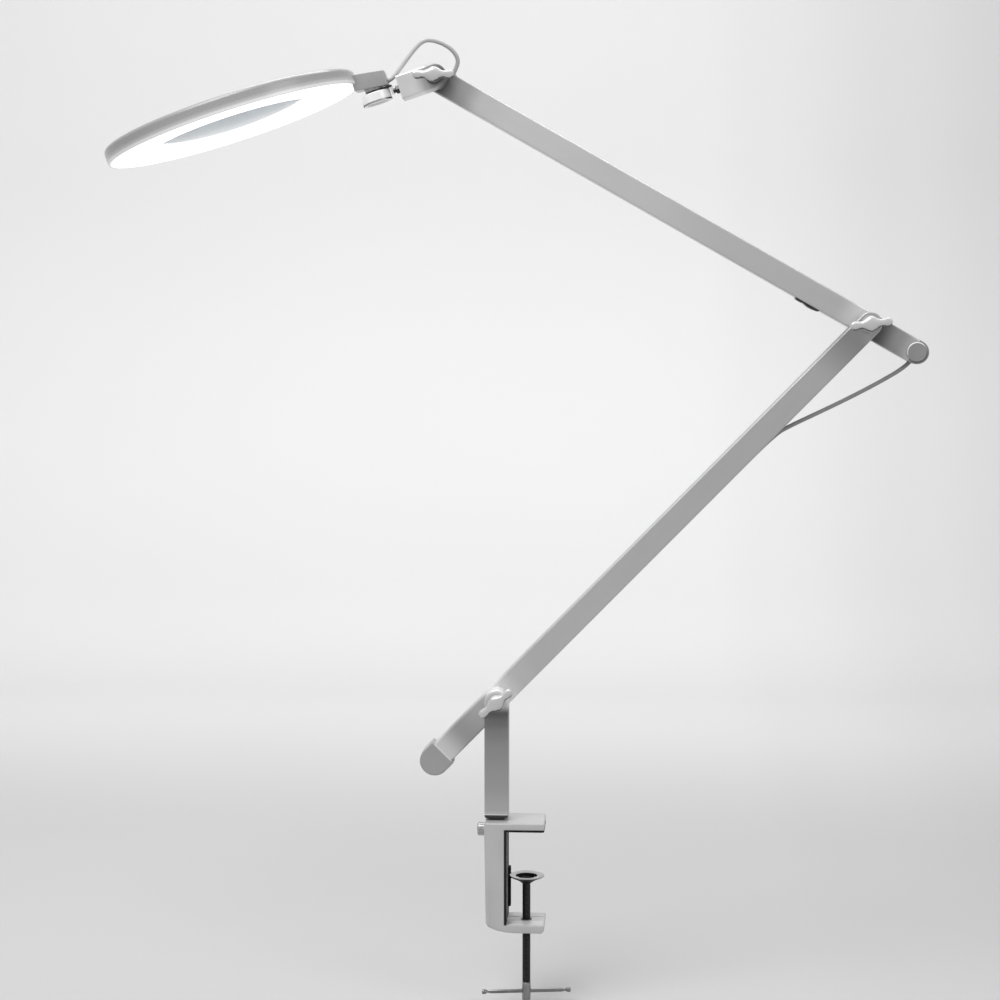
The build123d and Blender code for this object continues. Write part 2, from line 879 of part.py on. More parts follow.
def make_head_housing():
    lens_top = lens_seat + lens_edge
    seat_inner = lens_radius - seat_lip
    flare = radians(flare_angle)
    flare_tip = (head_radius - neck_width / 2 * sin(flare)) / cos(flare)
    with BuildPart() as housing:
        with BuildSketch(head_plane(0)):
            Circle(head_radius)
            with BuildLine():
                Polyline(
                    (flare_tip, neck_width / 2),
                    (head_radius * cos(flare), head_radius * sin(flare)),
                    (head_radius * cos(flare), -head_radius * sin(flare)),
                    (flare_tip, -neck_width / 2),
                    close=True,
                )
            make_face()
        extrude(amount=head_height)
        fillet(housing.faces().sort_by(Axis(head_centre, head_normal))[-1].edges(), head_round)
        with BuildSketch(head_side()):
            with BuildLine():
                Polyline(
                    (neck_root, neck_root_low),
                    (neck_tip, neck_tip_low),
                    (neck_tip, neck_tip_top),
                    (neck_root, neck_root_top),
                    close=True,
                )
            make_face()
        extrude(amount=neck_width / 2, both=True)
        tip_edges = housing.edges().filter_by(Axis((0, 0, 0), head_normal))
        fillet(tip_edges.sort_by(Axis(head_centre, to_arm))[-2:], neck_width / 2 - 1)
        with BuildSketch(head_plane(seat_level)):
            with Locations((knuckle_at, 0)):
                Circle(seat_radius)
        extrude(amount=-seat_level / 2)
        with BuildSketch(head_plane(0)):
            Circle(head_radius - head_wall)
            Circle(lens_radius + seat_wall, mode=Mode.SUBTRACT)
        extrude(amount=head_height - head_wall, mode=Mode.SUBTRACT)
        with BuildSketch(head_plane(0)):
            Circle(lens_radius)
        extrude(amount=lens_top, mode=Mode.SUBTRACT)
        with BuildSketch(head_plane(0)):
            Circle(seat_inner)
        extrude(amount=head_height, mode=Mode.SUBTRACT)
        with BuildSketch(head_plane(lens_top + seat_wall)):
            Circle(lens_radius)
        extrude(amount=head_height, mode=Mode.SUBTRACT)
        with BuildSketch(head_plane(seat_level)):
            with Locations((knuckle_at, 0)):
                Circle(stud_radius + 1)
        extrude(amount=grip_screw + 1, mode=Mode.SUBTRACT)
        with BuildSketch(head_plane(head_height - head_wall)):
            with PolarLocations(screw_ring, screw_count):
                Circle(screw_shank)
        extrude(amount=head_wall / 2, mode=Mode.SUBTRACT)
        with BuildSketch(Plane(origin=neck_mouth(), z_dir=to_arm)):
            Circle(lead_radius + running)
        extrude(amount=lead_sunk + 1, both=True, mode=Mode.SUBTRACT)
    finish(housing, "head_housing")


def neck_mouth():
    """Where the lead enters the end of the neck."""
    return head_centre + to_arm * neck_tip + head_normal * (neck_tip_low + neck_tip_top) / 2


def make_neck_insert():
    with BuildPart() as insert:
        with BuildSketch(head_plane(seat_level)):
            with Locations((knuckle_at, 0)):
                Circle(stud_radius + 1)
                Circle(stud_radius + running, mode=Mode.SUBTRACT)
        extrude(amount=grip_screw + 1)
    finish(insert, "neck_insert")


def make_light():
    board_low = head_height - head_wall - board_thick
    outer = head_radius - head_wall
    inner = lens_radius + seat_wall
    diffuser = head_ring(diffuser_low, diffuser_thick, outer, inner)
    finish(diffuser, "diffuser")
    with BuildPart() as board:
        with BuildSketch(head_plane(board_low)):
            Circle(board_outer)
            Circle(board_inner, mode=Mode.SUBTRACT)
        extrude(amount=board_thick)
        with BuildSketch(head_plane(board_low)):
            with PolarLocations(screw_ring, screw_count):
                Circle(screw_shank)
        extrude(amount=board_thick, mode=Mode.SUBTRACT)
    finish(board, "led_board")
    with BuildPart() as leds:
        with BuildSketch(head_plane(board_low)):
            with PolarLocations(led_ring, led_count):
                Rectangle(led_wide, led_long)
        extrude(amount=-led_tall)
    finish(leds, "led_chips")
    with BuildPart() as screws:
        with BuildSketch(head_plane(board_low)):
            with PolarLocations(screw_ring, screw_count):
                Circle(screw_head)
        extrude(amount=-screw_head_tall)
        with BuildSketch(head_plane(board_low)):
            with PolarLocations(screw_ring, screw_count):
                Circle(screw_shank)
        extrude(amount=board_thick + head_wall / 2)
    finish(screws, "board_screws")


def make_lens():
    bulge = (lens_centre - lens_edge) / 2
    clear = lens_radius - seat_lip
    low = lens_seat
    top = lens_seat + lens_edge
    with BuildPart() as lens:
        with BuildSketch(head_side()):
            with BuildLine():
                ThreePointArc((-clear, low), (0, low - bulge), (clear, low))
                Polyline((clear, low), (lens_radius, low), (lens_radius, top), (clear, top))
                ThreePointArc((clear, top), (0, top + bulge), (-clear, top))
                Polyline((-clear, top), (-lens_radius, top), (-lens_radius, low), (-clear, low))
            make_face()
            split(bisect_by=Plane.YZ)
        revolve(axis=Axis(head_centre, head_normal))
    finish(lens, "lens")
    ring = head_ring(1.4, lens_seat - 1.4, lens_radius, lens_radius - seat_lip)
    finish(ring, "lens_ring")


# Knuckle


def make_eye_link():
    plate_top = seat_level
    plate_low = seat_level - eye_thick
    plate = head_plane(plate_low)
    nut_face = stud_plane(block_length + nut_thick).origin
    reach = (nut_face - head_centre).dot(to_arm) - running
    drop = (nut_face - head_centre).dot(head_normal)
    with BuildPart() as link:
        with BuildSketch(plate):
            with Locations((knuckle_at, 0)):
                Circle(eye_radius)
            with Locations(((knuckle_at + reach) / 2, 0)):
                Rectangle(reach - knuckle_at, 2 * strap_half)
        extrude(amount=eye_thick)
        with BuildSketch(head_side()):
            with BuildLine():
                Polyline(
                    (reach - eye_thick, plate_low),
                    (reach, plate_top),
                    (reach, drop - strap_half),
                    (reach - eye_thick, drop - strap_half),
                    close=True,
                )
            make_face()
        extrude(amount=strap_half, both=True)
        with BuildSketch(stud_plane(block_length + nut_thick + eye_thick / 2)):
            Circle(stud_radius)
        extrude(amount=-stud_inside - nut_thick - eye_thick / 2)
        with BuildSketch(plate):
            with Locations((knuckle_at, 0)):
                Circle(stud_radius + running)
        extrude(amount=eye_thick, mode=Mode.SUBTRACT)
    finish(link, "eye_link")


def make_lock_nut():
    with BuildPart() as nut:
        with BuildSketch(stud_plane(block_length)):
            RegularPolygon(nut_across / 2, 6, major_radius=False)
            Circle(stud_radius, mode=Mode.SUBTRACT)
        extrude(amount=nut_thick)
        chamfer(nut.faces().sort_by(Axis.X)[0].outer_wire().edges(), nut_thick / 10)
    finish(nut, "lock_nut")


def make_knurled_knob():
    top = seat_level - eye_thick
    with BuildPart() as knob:
        with BuildSketch(head_plane(top - grip_height)):
            with Locations((knuckle_at, 0)):
                Circle(grip_radius)
                with PolarLocations(grip_radius, grip_teeth):
                    Circle(grip_tooth, mode=Mode.SUBTRACT)
        extrude(amount=grip_height)
        with BuildSketch(head_plane(top - grip_height)):
            with Locations((knuckle_at, 0)):
                Circle(grip_radius - 3)
        extrude(amount=1.5, mode=Mode.SUBTRACT)
        with BuildSketch(head_plane(top)):
            with Locations((knuckle_at, 0)):
                Circle(stud_radius)
        extrude(amount=grip_screw + eye_thick - 1)
    finish(knob, "knurled_knob")


# Leads


def under_arm(place, across, level):
    """A point under the lower arm: distance from the base pivot, drop from its axis, depth."""
    point = base_pivot + heading(lower_angle) * place - heading(lower_angle + 90) * across
    return Vector(point.X, level, point.Z)


def from_loop_top(right, rear, rise):
    """A point of the head's lead, from the top of its loop over the tilt block."""
    top = Vector(head_pivot.X + loop_right, upper_front + loop_rear, head_pivot.Z + loop_rise)
    return top + Vector(right, rear, rise)


def make_leads():
    start = elbow_lead_start()
    down = heading(upper_angle + 90)
    seat = half - groove_depth + groove_width / 2
    points = [
        start - down * (lead_sunk - 2),
        start + down * 6,
        under_arm(lower_length - 22, 38.6, 34.4),
        under_arm(lower_length - 48, 29.8, 27.4),
        under_arm(lower_length - 76, 19.3, 20.8),
        under_arm(lower_length - 95, 12.2, lower_middle),
        under_arm(lower_length - 108, seat, lower_middle),
        under_arm(groove_join, seat, lower_middle),
    ]
    lead_tube("elbow_lead", [tuple(point) for point in points])
    with BuildPart() as run:
        with BuildSketch(groove_plane(-tail_round)):
            with Locations((0, -seat)):
                Circle(lead_radius)
        extrude(amount=tail_round + groove_join)
    finish(run, "lower_arm_lead")
    inside = arm_point(lead_hole_place, -half + tube_wall + 2, upper_middle)
    over = arm_point(lead_hole_place, -half - 5, upper_middle)
    top = from_loop_top(0, 0, 0)
    shoulder = from_loop_top(-10.0, -2.3, -0.2)
    handover = (top + shoulder) / 2
    first = [
        inside,
        over,
        from_loop_top(18.1, 5.2, -14.1),
        from_loop_top(12.0, 3.0, -4.8),
        top,
        handover,
    ]
    lead_tube("head_lead_arm", [tuple(point) for point in first])
    slope = from_loop_top(-17.5, -4.8, -8.8)
    drop = from_loop_top(-25.5, -7.6, -21.6)
    middle = (slope + drop) / 2
    second = [handover, shoulder, slope, middle]
    lead_tube("head_lead_block", [tuple(point) for point in second])
    mouth = neck_mouth()
    third = [middle, drop, mouth + to_arm * lead_sunk, mouth - to_arm * lead_sunk]
    lead_tube("head_lead_neck", [tuple(point) for point in third])


make_clamp_body()
make_jaw_pad()
make_spine_strip()
make_clamp_nut()
make_swivel_sleeve()
make_set_screw()
make_pressure_cup()
make_clamp_screw()
make_tommy_bar()
make_post()
make_post_foot()
make_spigot()
flat_washer("base_washer", base_pivot, lower_front, washer_radius, fold_washer)
flat_washer("base_knob_washer", base_pivot, post_front, knob_washer_radius, knob_washer)
make_lower_arm()
make_tail_cap()
make_power_inlet()
coach_bolt("base_bolt", base_pivot, lower_back)
wing_knob("base_knob", base_pivot, post_front - knob_washer, 40)
make_upper_arm()
make_elbow_cap()
make_switch()
make_arm_grommet()
flat_washer("elbow_washer", elbow_pivot, upper_front, washer_radius, fold_washer)
flat_washer("elbow_knob_washer", elbow_pivot, lower_front, knob_washer_radius, knob_washer)
coach_bolt("elbow_bolt", elbow_pivot, upper_back)
wing_knob("elbow_knob", elbow_pivot, lower_front - knob_washer, 7)
make_tilt_block()
make_block_plug()
flat_washer("tilt_washer", head_pivot, upper_front, washer_radius, fold_washer)
flat_washer("tilt_knob_washer", head_pivot, lower_front, knob_washer_radius, knob_washer)
coach_bolt("tilt_bolt", head_pivot, upper_back)
wing_knob("tilt_knob", head_pivot, lower_front - knob_washer, 0)
make_head_housing()
make_neck_insert()
make_light()
make_lens()
make_eye_link()
make_lock_nut()
make_knurled_knob()
make_leads()
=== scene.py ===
import math

import bmesh
import bpy
from mathutils import Matrix, Vector


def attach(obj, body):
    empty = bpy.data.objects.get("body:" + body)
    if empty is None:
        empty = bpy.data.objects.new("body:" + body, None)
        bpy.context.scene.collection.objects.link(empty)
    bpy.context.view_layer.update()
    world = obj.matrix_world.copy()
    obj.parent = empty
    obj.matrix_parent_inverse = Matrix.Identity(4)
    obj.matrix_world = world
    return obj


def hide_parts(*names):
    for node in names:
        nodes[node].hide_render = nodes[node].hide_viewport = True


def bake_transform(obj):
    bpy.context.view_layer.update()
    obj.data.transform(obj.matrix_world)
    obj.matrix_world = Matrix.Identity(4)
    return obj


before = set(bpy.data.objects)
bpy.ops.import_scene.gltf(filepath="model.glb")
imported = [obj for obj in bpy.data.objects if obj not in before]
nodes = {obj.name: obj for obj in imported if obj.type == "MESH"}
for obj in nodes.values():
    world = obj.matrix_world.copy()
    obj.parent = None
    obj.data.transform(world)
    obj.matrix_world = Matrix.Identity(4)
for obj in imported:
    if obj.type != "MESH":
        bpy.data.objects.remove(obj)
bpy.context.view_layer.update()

mm = 0.001
right = Vector((1, 0, 0))
rear = Vector((0, 1, 0))
upward = Vector((0, 0, 1))


def heading(degrees):
    return Vector((math.cos(math.radians(degrees)), 0, math.sin(math.radians(degrees))))


# Where the lamp's members lie, in metres and degrees, as in the solids
lamp = {
    "lowerAngle": 45.6,
    "upperAngle": 150.4,
    "headAngle": 18.25,
    "headRoll": 1.0,
    "lowerMiddle": 0.0188,
    "upperMiddle": 0.0376,
    "lowerLength": 0.398,
    "upperLength": 0.375,
    "capMiddle": -0.0429,
    "base": Vector((-0.0226, 0, 0.0975)),
    "disc": Vector((-0.2229, 0.0188, 0.5307)),
}
lamp["elbow"] = lamp["base"] + heading(lamp["lowerAngle"]) * lamp["lowerLength"]
lamp["head"] = lamp["elbow"] + heading(lamp["upperAngle"]) * lamp["upperLength"]
capDisc = lamp["elbow"] + heading(lamp["upperAngle"]) * lamp["capMiddle"]
headLean = math.radians(lamp["headAngle"])
headRoll = math.radians(lamp["headRoll"])
toArm = Vector((math.cos(headLean), 0, math.sin(headLean)))
discUp = Vector((
    -math.sin(headLean) * math.cos(headRoll),
    -math.sin(headRoll),
    math.cos(headLean) * math.cos(headRoll),
))
discAcross = discUp.cross(toArm)


# Helpers that make meshes and add them as pieces


def addPiece(name, mesh, body, material, replaced=(), smoothAngle=40):
    # a finished piece: welded, normals outwards, riding on its body if it has one
    work = bmesh.new()
    work.from_mesh(mesh)
    bmesh.ops.remove_doubles(work, verts=work.verts, dist=1e-6)
    bmesh.ops.recalc_face_normals(work, faces=work.faces)
    work.to_mesh(mesh)
    work.free()
    for polygon in mesh.polygons:
        polygon.use_smooth = True
    mesh.set_sharp_from_angle(angle=math.radians(smoothAngle))
    mesh.materials.clear()
    mesh.materials.append(material)
    piece = bpy.data.objects.new(name, mesh)
    bpy.context.scene.collection.objects.link(piece)
    if body:
        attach(piece, body)
    if replaced:
        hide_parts(*replaced)
    return piece


def meshOf(points, faces):
    mesh = bpy.data.meshes.new("shape")
    mesh.from_pydata([tuple(p) for p in points], [], faces)
    mesh.update()
    return mesh


def loft(rings):
    # rings of the same count, joined side by side, with both ends closed
    count = len(rings[0])
    points = [p for ring in rings for p in ring]
    faces = []
    for level in range(len(rings) - 1):
        low = level * count
        for i in range(count):
            j = (i + 1) % count
            faces.append((low + i, low + j, low + count + j, low + count + i))
    last = (len(rings) - 1) * count
    faces.append(tuple(reversed(range(count))))
    faces.append(tuple(range(last, last + count)))
    return points, faces


def turned(profile, origin, axis, side, segments=96):
    # a lathe: profile holds (radius, height) in millimetres from one end to the other
    other = axis.cross(side)
    rings = []
    for radius, height in profile:
        ring = []
        for i in range(segments):
            angle = 2 * math.pi * i / segments
            spoke = side * math.cos(angle) + other * math.sin(angle)
            ring.append(origin + (axis * height + spoke * max(radius, 0.01)) * mm)
        rings.append(ring)
    return loft(rings)


def lathe(profile, origin, axis, side, segments=96):
    return meshOf(*turned(profile, origin, axis, side, segments))


def rod(radius, low, high, origin, axis, side, segments=96):
    return lathe([(0, low), (radius, low), (radius, high), (0, high)], origin, axis, side, segments)


def hoop(profile, origin, axis, side, segments=96):
    # a ring whose profile closes on itself
    points, faces = turned(profile + [profile[0]], origin, axis, side, segments)
    return meshOf(points, faces[:-2])


def framed(origin, first, second):
    # a function that places (u, v, w) in millimetres along first, second and their normal
    third = first.cross(second)
    return lambda u, v, w=0.0: origin + (first * u + second * v + third * w) * mm


def prism(outline, place, low, high):
    # outline of (u, v), raised from low to high along the third direction
    return meshOf(*loft([[place(u, v, level) for u, v in outline] for level in (low, high)]))


def slab(start, end, place, low, high):
    # a prism over the rectangle between two corners
    outline = [(start[0], start[1]), (end[0], start[1]), (end[0], end[1]), (start[0], end[1])]
    return prism(outline, place, low, high)


def joined(meshes):
    work = bmesh.new()
    for mesh in meshes:
        work.from_mesh(mesh)
    whole = bpy.data.meshes.new("whole")
    work.to_mesh(whole)
    work.free()
    return whole


def rounded(mesh, offset, chosen, segments=3):
    # bevels the edges that chosen(edge) accepts
    work = bmesh.new()
    work.from_mesh(mesh)
    bmesh.ops.recalc_face_normals(work, faces=work.faces)
    edges = [edge for edge in work.edges if chosen(edge)]
    bmesh.ops.bevel(work, geom=edges, offset=offset * mm, segments=segments, profile=0.5, affect="EDGES")
    work.to_mesh(mesh)
    work.free()
    return mesh


def sharperThan(angle):
    return lambda edge: edge.calc_face_angle(0) > angle


def cut(mesh, cutters):
    # the mesh with each cutter taken out of it
    body = bpy.data.objects.new("cutBody", mesh)
    bpy.context.scene.collection.objects.link(body)
    helpers = []
    for cutter in cutters:
        helper = bpy.data.objects.new("cutter", cutter)
        bpy.context.scene.collection.objects.link(helper)
        modifier = body.modifiers.new("cut", "BOOLEAN")
        modifier.operation = "DIFFERENCE"
        modifier.object = helper
        helpers.append(helper)
    result = bpy.data.meshes.new_from_object(body.evaluated_get(bpy.context.evaluated_depsgraph_get()))
    for helper in helpers + [body]:
        bpy.data.objects.remove(helper)
    return result


def parted(mesh, chosen):
    # the mesh as two: the faces that chosen(face) accepts, and the rest
    halves = []
    for wanted in (True, False):
        work = bmesh.new()
        work.from_mesh(mesh)
        bmesh.ops.recalc_face_normals(work, faces=work.faces)
        others = [face for face in work.faces if chosen(face) != wanted]
        bmesh.ops.delete(work, geom=others, context="FACES")
        half = bpy.data.meshes.new("half")
        work.to_mesh(half)
        work.free()
        halves.append(half)
    return halves


def arcPoints(centre, radius, start, end, count=8):
    turns = [math.radians(start + (end - start) * i / count) for i in range(count + 1)]
    return [(centre[0] + radius * math.cos(a), centre[1] + radius * math.sin(a)) for a in turns]


# Materials: a base tone, a finer grain, and painted light and shade that follow a member's length


def startMaterial(name):
    material = bpy.data.materials.new(name)
    material.use_nodes = True
    tree = material.node_tree
    tree.nodes.clear()
    output = tree.nodes.new("ShaderNodeOutputMaterial")
    shader = tree.nodes.new("ShaderNodeBsdfPrincipled")
    tree.links.new(shader.outputs["BSDF"], output.inputs["Surface"])
    return material, tree, shader


def placedNoise(tree, scale, stretch, turn, detail=4.0, roughness=0.55):
    place = tree.nodes.new("ShaderNodeTexCoord")
    mapping = tree.nodes.new("ShaderNodeMapping")
    mapping.vector_type = "TEXTURE"
    mapping.inputs["Rotation"].default_value = turn
    mapping.inputs["Scale"].default_value = stretch
    noise = tree.nodes.new("ShaderNodeTexNoise")
    noise.inputs["Scale"].default_value = scale
    noise.inputs["Detail"].default_value = detail
    noise.inputs["Roughness"].default_value = roughness
    tree.links.new(place.outputs["Object"], mapping.inputs["Vector"])
    tree.links.new(mapping.outputs["Vector"], noise.inputs["Vector"])
    return noise


def spread(tree, source, low, high, target):
    reach = tree.nodes.new("ShaderNodeMapRange")
    reach.inputs["From Min"].default_value = 0.3
    reach.inputs["From Max"].default_value = 0.7
    reach.inputs["To Min"].default_value = low
    reach.inputs["To Max"].default_value = high
    tree.links.new(source, reach.inputs["Value"])
    tree.links.new(reach.outputs["Result"], target)


def tone(tree, source, dark, light, target):
    ramp = tree.nodes.new("ShaderNodeValToRGB")
    ramp.color_ramp.elements[0].position = 0.3
    ramp.color_ramp.elements[1].position = 0.7
    ramp.color_ramp.elements[0].color = (*dark, 1)
    ramp.color_ramp.elements[1].color = (*light, 1)
    tree.links.new(source, ramp.inputs["Fac"])
    tree.links.new(ramp.outputs["Color"], target)


def paintedLightAlong(tree, paintedLight, target, source):
    # multiplies the tone in source by painted light and shade along a straight line through the object;
    # the dictionary holds the line's origin and direction, and (millimetres along it, level) pairs
    place = tree.nodes.new("ShaderNodeTexCoord")
    offset = tree.nodes.new("ShaderNodeVectorMath")
    offset.operation = "SUBTRACT"
    offset.inputs[1].default_value = paintedLight["origin"]
    along = tree.nodes.new("ShaderNodeVectorMath")
    along.operation = "DOT_PRODUCT"
    along.inputs[1].default_value = paintedLight["direction"]
    places = [at for at, level in paintedLight["levels"]]
    reach = tree.nodes.new("ShaderNodeMapRange")
    reach.inputs["From Min"].default_value = places[0] * mm
    reach.inputs["From Max"].default_value = places[-1] * mm
    ramp = tree.nodes.new("ShaderNodeValToRGB")
    ramp.color_ramp.interpolation = "EASE"
    elements = ramp.color_ramp.elements
    while len(elements) < len(places):
        elements.new(1.0)
    for element, (at, level) in zip(elements, paintedLight["levels"]):
        element.position = (at - places[0]) / (places[-1] - places[0])
        element.color = (level, level, level, 1)
    mix = tree.nodes.new("ShaderNodeMix")
    mix.data_type = "RGBA"
    mix.blend_type = "MULTIPLY"
    mix.inputs["Factor"].default_value = 1.0
    tree.links.new(place.outputs["Object"], offset.inputs[0])
    tree.links.new(offset.outputs["Vector"], along.inputs[0])
    tree.links.new(along.outputs["Value"], reach.inputs["Value"])
    tree.links.new(reach.outputs["Result"], ramp.inputs["Fac"])
    tree.links.new(source, mix.inputs["A"])
    tree.links.new(ramp.outputs["Color"], mix.inputs["B"])
    tree.links.new(mix.outputs["Result"], target)


def finishMaterial(name, look):
    # broad tone variation, a finer grain in the roughness, and a bump from the grain
    material, tree, shader = startMaterial(name)
    turn = look.get("turn", (0, 0, 0))
    broad = placedNoise(tree, look["broad"], (1, 1, 1), turn, 3.0)
    grain = placedNoise(tree, look["grain"], look.get("stretch", (1, 1, 1)), turn, 5.0)
    tone(tree, broad.outputs["Fac"], look["dark"], look["light"], shader.inputs["Base Color"])
    # painted light and shade along a line, where the look has them
    if "paintedLight" in look:
        source = shader.inputs["Base Color"].links[0].from_socket
        paintedLightAlong(tree, look["paintedLight"], shader.inputs["Base Color"], source)
    spread(tree, grain.outputs["Fac"], look["smooth"], look["rough"], shader.inputs["Roughness"])
    bump = tree.nodes.new("ShaderNodeBump")
    bump.inputs["Strength"].default_value = look["bump"]
    bump.inputs["Distance"].default_value = look["relief"]
    tree.links.new(grain.outputs["Fac"], bump.inputs["Height"])
    tree.links.new(bump.outputs["Normal"], shader.inputs["Normal"])
    shader.inputs["Metallic"].default_value = look.get("metallic", 0.0)
    shader.inputs["Coat Weight"].default_value = look.get("coat", 0.0)
    shader.inputs["Coat Roughness"].default_value = look.get("coatRough", 0.1)
    shader.inputs["IOR"].default_value = look.get("ior", 1.5)
    return material


def grey(level):
    return (level, level, level)


def turnTo(angle):
    return (0, -math.radians(angle), 0)


# painted light and shade along a member, from a point along a heading
def memberPaintedLight(origin, angle, levels):
    return {"origin": tuple(origin), "direction": tuple(heading(angle)), "levels": levels}


armLook = {
    "dark": grey(0.97), "light": grey(1.0), "metallic": 0.6, "smooth": 0.38, "rough": 0.46,
    "broad": 14, "grain": 900, "stretch": (30, 1, 1), "bump": 0.05, "relief": 0.0002,
}
plasticLook = {
    "dark": grey(0.24), "light": grey(0.26), "smooth": 0.32, "rough": 0.42,
    "broad": 60, "grain": 2600, "bump": 0.06, "relief": 0.0001, "coat": 0.2,
}
paintLook = {
    "dark": grey(0.47), "light": grey(0.5), "metallic": 0.2, "smooth": 0.32, "rough": 0.4,
    "broad": 40, "grain": 1500, "bump": 0.04, "relief": 0.0002,
}
rubberLook = {
    "dark": grey(0.012), "light": grey(0.02), "smooth": 0.55, "rough": 0.75,
    "broad": 90, "grain": 3200, "bump": 0.2, "relief": 0.0001, "ior": 1.2,
}
steelLook = {
    "dark": grey(0.42), "light": grey(0.5), "metallic": 1.0, "smooth": 0.22, "rough": 0.32,
    "broad": 120, "grain": 2200, "bump": 0.03, "relief": 0.0001,
}
chromeLook = {
    "dark": grey(0.36), "light": grey(0.42), "metallic": 1.0, "smooth": 0.08, "rough": 0.14,
    "broad": 120, "grain": 900, "bump": 0.01, "relief": 0.0001,
}
knobLook = {
    "dark": grey(0.55), "light": grey(0.58), "metallic": 0.3, "smooth": 0.28, "rough": 0.36,
    "broad": 80, "grain": 600, "bump": 0.01, "relief": 0.0001, "coat": 0.1,
}
blackLook = {
    "dark": grey(0.012), "light": grey(0.02), "metallic": 0.5, "smooth": 0.28, "rough": 0.42,
    "broad": 150, "grain": 2600, "bump": 0.08, "relief": 0.0001,
}
shellLook = {
    "dark": grey(0.97), "light": grey(1.0), "smooth": 0.24, "rough": 0.3,
    "broad": 20, "grain": 1400, "bump": 0.02, "relief": 0.0001, "coat": 0.2,
}
sheathLook = {
    "dark": grey(0.44), "light": grey(0.48), "smooth": 0.36, "rough": 0.46,
    "broad": 90, "grain": 2600, "bump": 0.06, "relief": 0.0001,
}
boardLook = {
    "dark": grey(0.75), "light": grey(0.8), "smooth": 0.3, "rough": 0.4,
    "broad": 60, "grain": 2400, "bump": 0.1, "relief": 0.0001,
}
# Painted light and shade along the members: painted highlights round the pivots and the post's rounded
# top, painted shadow under the knobs, darker stretches between
lowerPaintedLight = memberPaintedLight(lamp["base"], lamp["lowerAngle"], [
    (-72, 0.7), (-58, 0.7), (-38, 0.41), (-12, 0.57), (0, 0.85), (24, 0.58), (44, 0.54),
    (340, 0.49), (380, 0.3), (390, 0.42), (400, 0.44), (408, 0.4),
])
upperPaintedLight = memberPaintedLight(lamp["elbow"], lamp["upperAngle"], [
    (-44, 0.6), (-26, 0.33), (-10, 0.1), (8, 0.76), (28, 0.54), (110, 0.56), (210, 0.63),
    (310, 0.66), (335, 0.62), (352, 0.4), (372, 0.1),
])
postPaintedLight = memberPaintedLight(lamp["base"], -90, [
    (-10, 0.78), (2, 0.66), (9, 0.14), (16, 0.21), (24, 0.27), (36, 0.32), (60, 0.37), (86, 0.47),
])
blockPaintedLight = memberPaintedLight(lamp["head"], lamp["headAngle"] + 180, [
    (-10, 0.15), (2, 0.36), (8, 0.6), (12, 0.78), (28, 0.7),
])
# the post's foot: a painted highlight line over a dark band of painted shade at its lower edge
footPaintedLight = memberPaintedLight(lamp["base"], -90, [
    (84, 0.5), (86.0, 0.46), (86.5, 0.9), (87.0, 0.03), (92, 0.02),
])
# the tilt knob's washer: painted light over its top, painted shade over its lower part
discPaintedLight = memberPaintedLight(lamp["head"], -90, [(-12, 1.0), (-4, 0.8), (2, 0.2), (12, 0.06)])
# the elbow cap's rim: painted highlight at its top left, painted shade at its bottom
rimPaintedLight = memberPaintedLight(capDisc, 120, [(-8, 0.05), (0, 0.3), (4, 0.8), (8, 0.85)])
# the head's shell: painted shade darkens it from its lower edge up its rim and over its top
shellPaintedLight = {"origin": tuple(lamp["disc"]), "direction": tuple(discUp), "levels": [
    (0, 0.95), (1.2, 0.8), (3.2, 0.5), (5.5, 0.36), (9, 0.34), (12, 0.4),
]}

looks = {
    "postMetal": armLook | {"turn": turnTo(90), "paintedLight": postPaintedLight},
    "lowerMetal": armLook | {"turn": turnTo(lamp["lowerAngle"]), "paintedLight": lowerPaintedLight},
    "upperMetal": armLook | {"turn": turnTo(lamp["upperAngle"]), "paintedLight": upperPaintedLight},
    "blockMetal": armLook | {"turn": turnTo(lamp["headAngle"]), "paintedLight": blockPaintedLight},
    "capPlastic": plasticLook,
    "tailPlastic": plasticLook | {"dark": grey(0.31), "light": grey(0.33)},
    "darkPlastic": plasticLook | {"dark": grey(0.016), "light": grey(0.024)},
    "footPlastic": plasticLook | {"dark": grey(0.9), "light": grey(0.94), "paintedLight": footPaintedLight},
    "clampPaint": paintLook,
    "jawPaintLit": paintLook | {"dark": grey(0.62), "light": grey(0.66)},
    "blackRubber": rubberLook,
    "platedSteel": steelLook,
    "darkSteel": steelLook | {"dark": grey(0.05), "light": grey(0.08)},
    "barSteel": steelLook | {"dark": grey(0.2), "light": grey(0.26)},
    "bossSteel": steelLook | {"dark": grey(0.3), "light": grey(0.34)},
    "turnedBrass": steelLook | {"dark": (0.5, 0.33, 0.12), "light": (0.6, 0.42, 0.16)},
    "chrome": chromeLook,
    "knobPlate": knobLook,
    "knobShade": knobLook | {"dark": grey(0.06), "light": grey(0.08), "metallic": 0.0},
    "discShade": knobLook | {"dark": grey(0.8), "light": grey(0.84), "paintedLight": discPaintedLight},
    "drumPlate": knobLook | {"dark": grey(0.84), "light": grey(0.88), "metallic": 0.1},
    "blackOxide": blackLook,
    "cupShade": blackLook | {"metallic": 0.0, "ior": 1.2, "smooth": 0.5, "rough": 0.6},
    "headShell": shellLook | {"paintedLight": shellPaintedLight},
    "rimShade": shellLook | {"paintedLight": rimPaintedLight},
    "neckShellShaded": shellLook | {"dark": grey(0.32), "light": grey(0.34)},
    "paleShell": shellLook | {"dark": grey(0.78), "light": grey(0.82)},
    "leadSheath": sheathLook,
    "shadedSheath": sheathLook | {"dark": grey(0.24), "light": grey(0.28)},
    "ledBoard": boardLook,
    "ledPhosphor": boardLook | {"dark": (0.8, 0.7, 0.2), "light": (0.9, 0.8, 0.3)},
}
paints = {name: finishMaterial(name, look) for name, look in looks.items()}


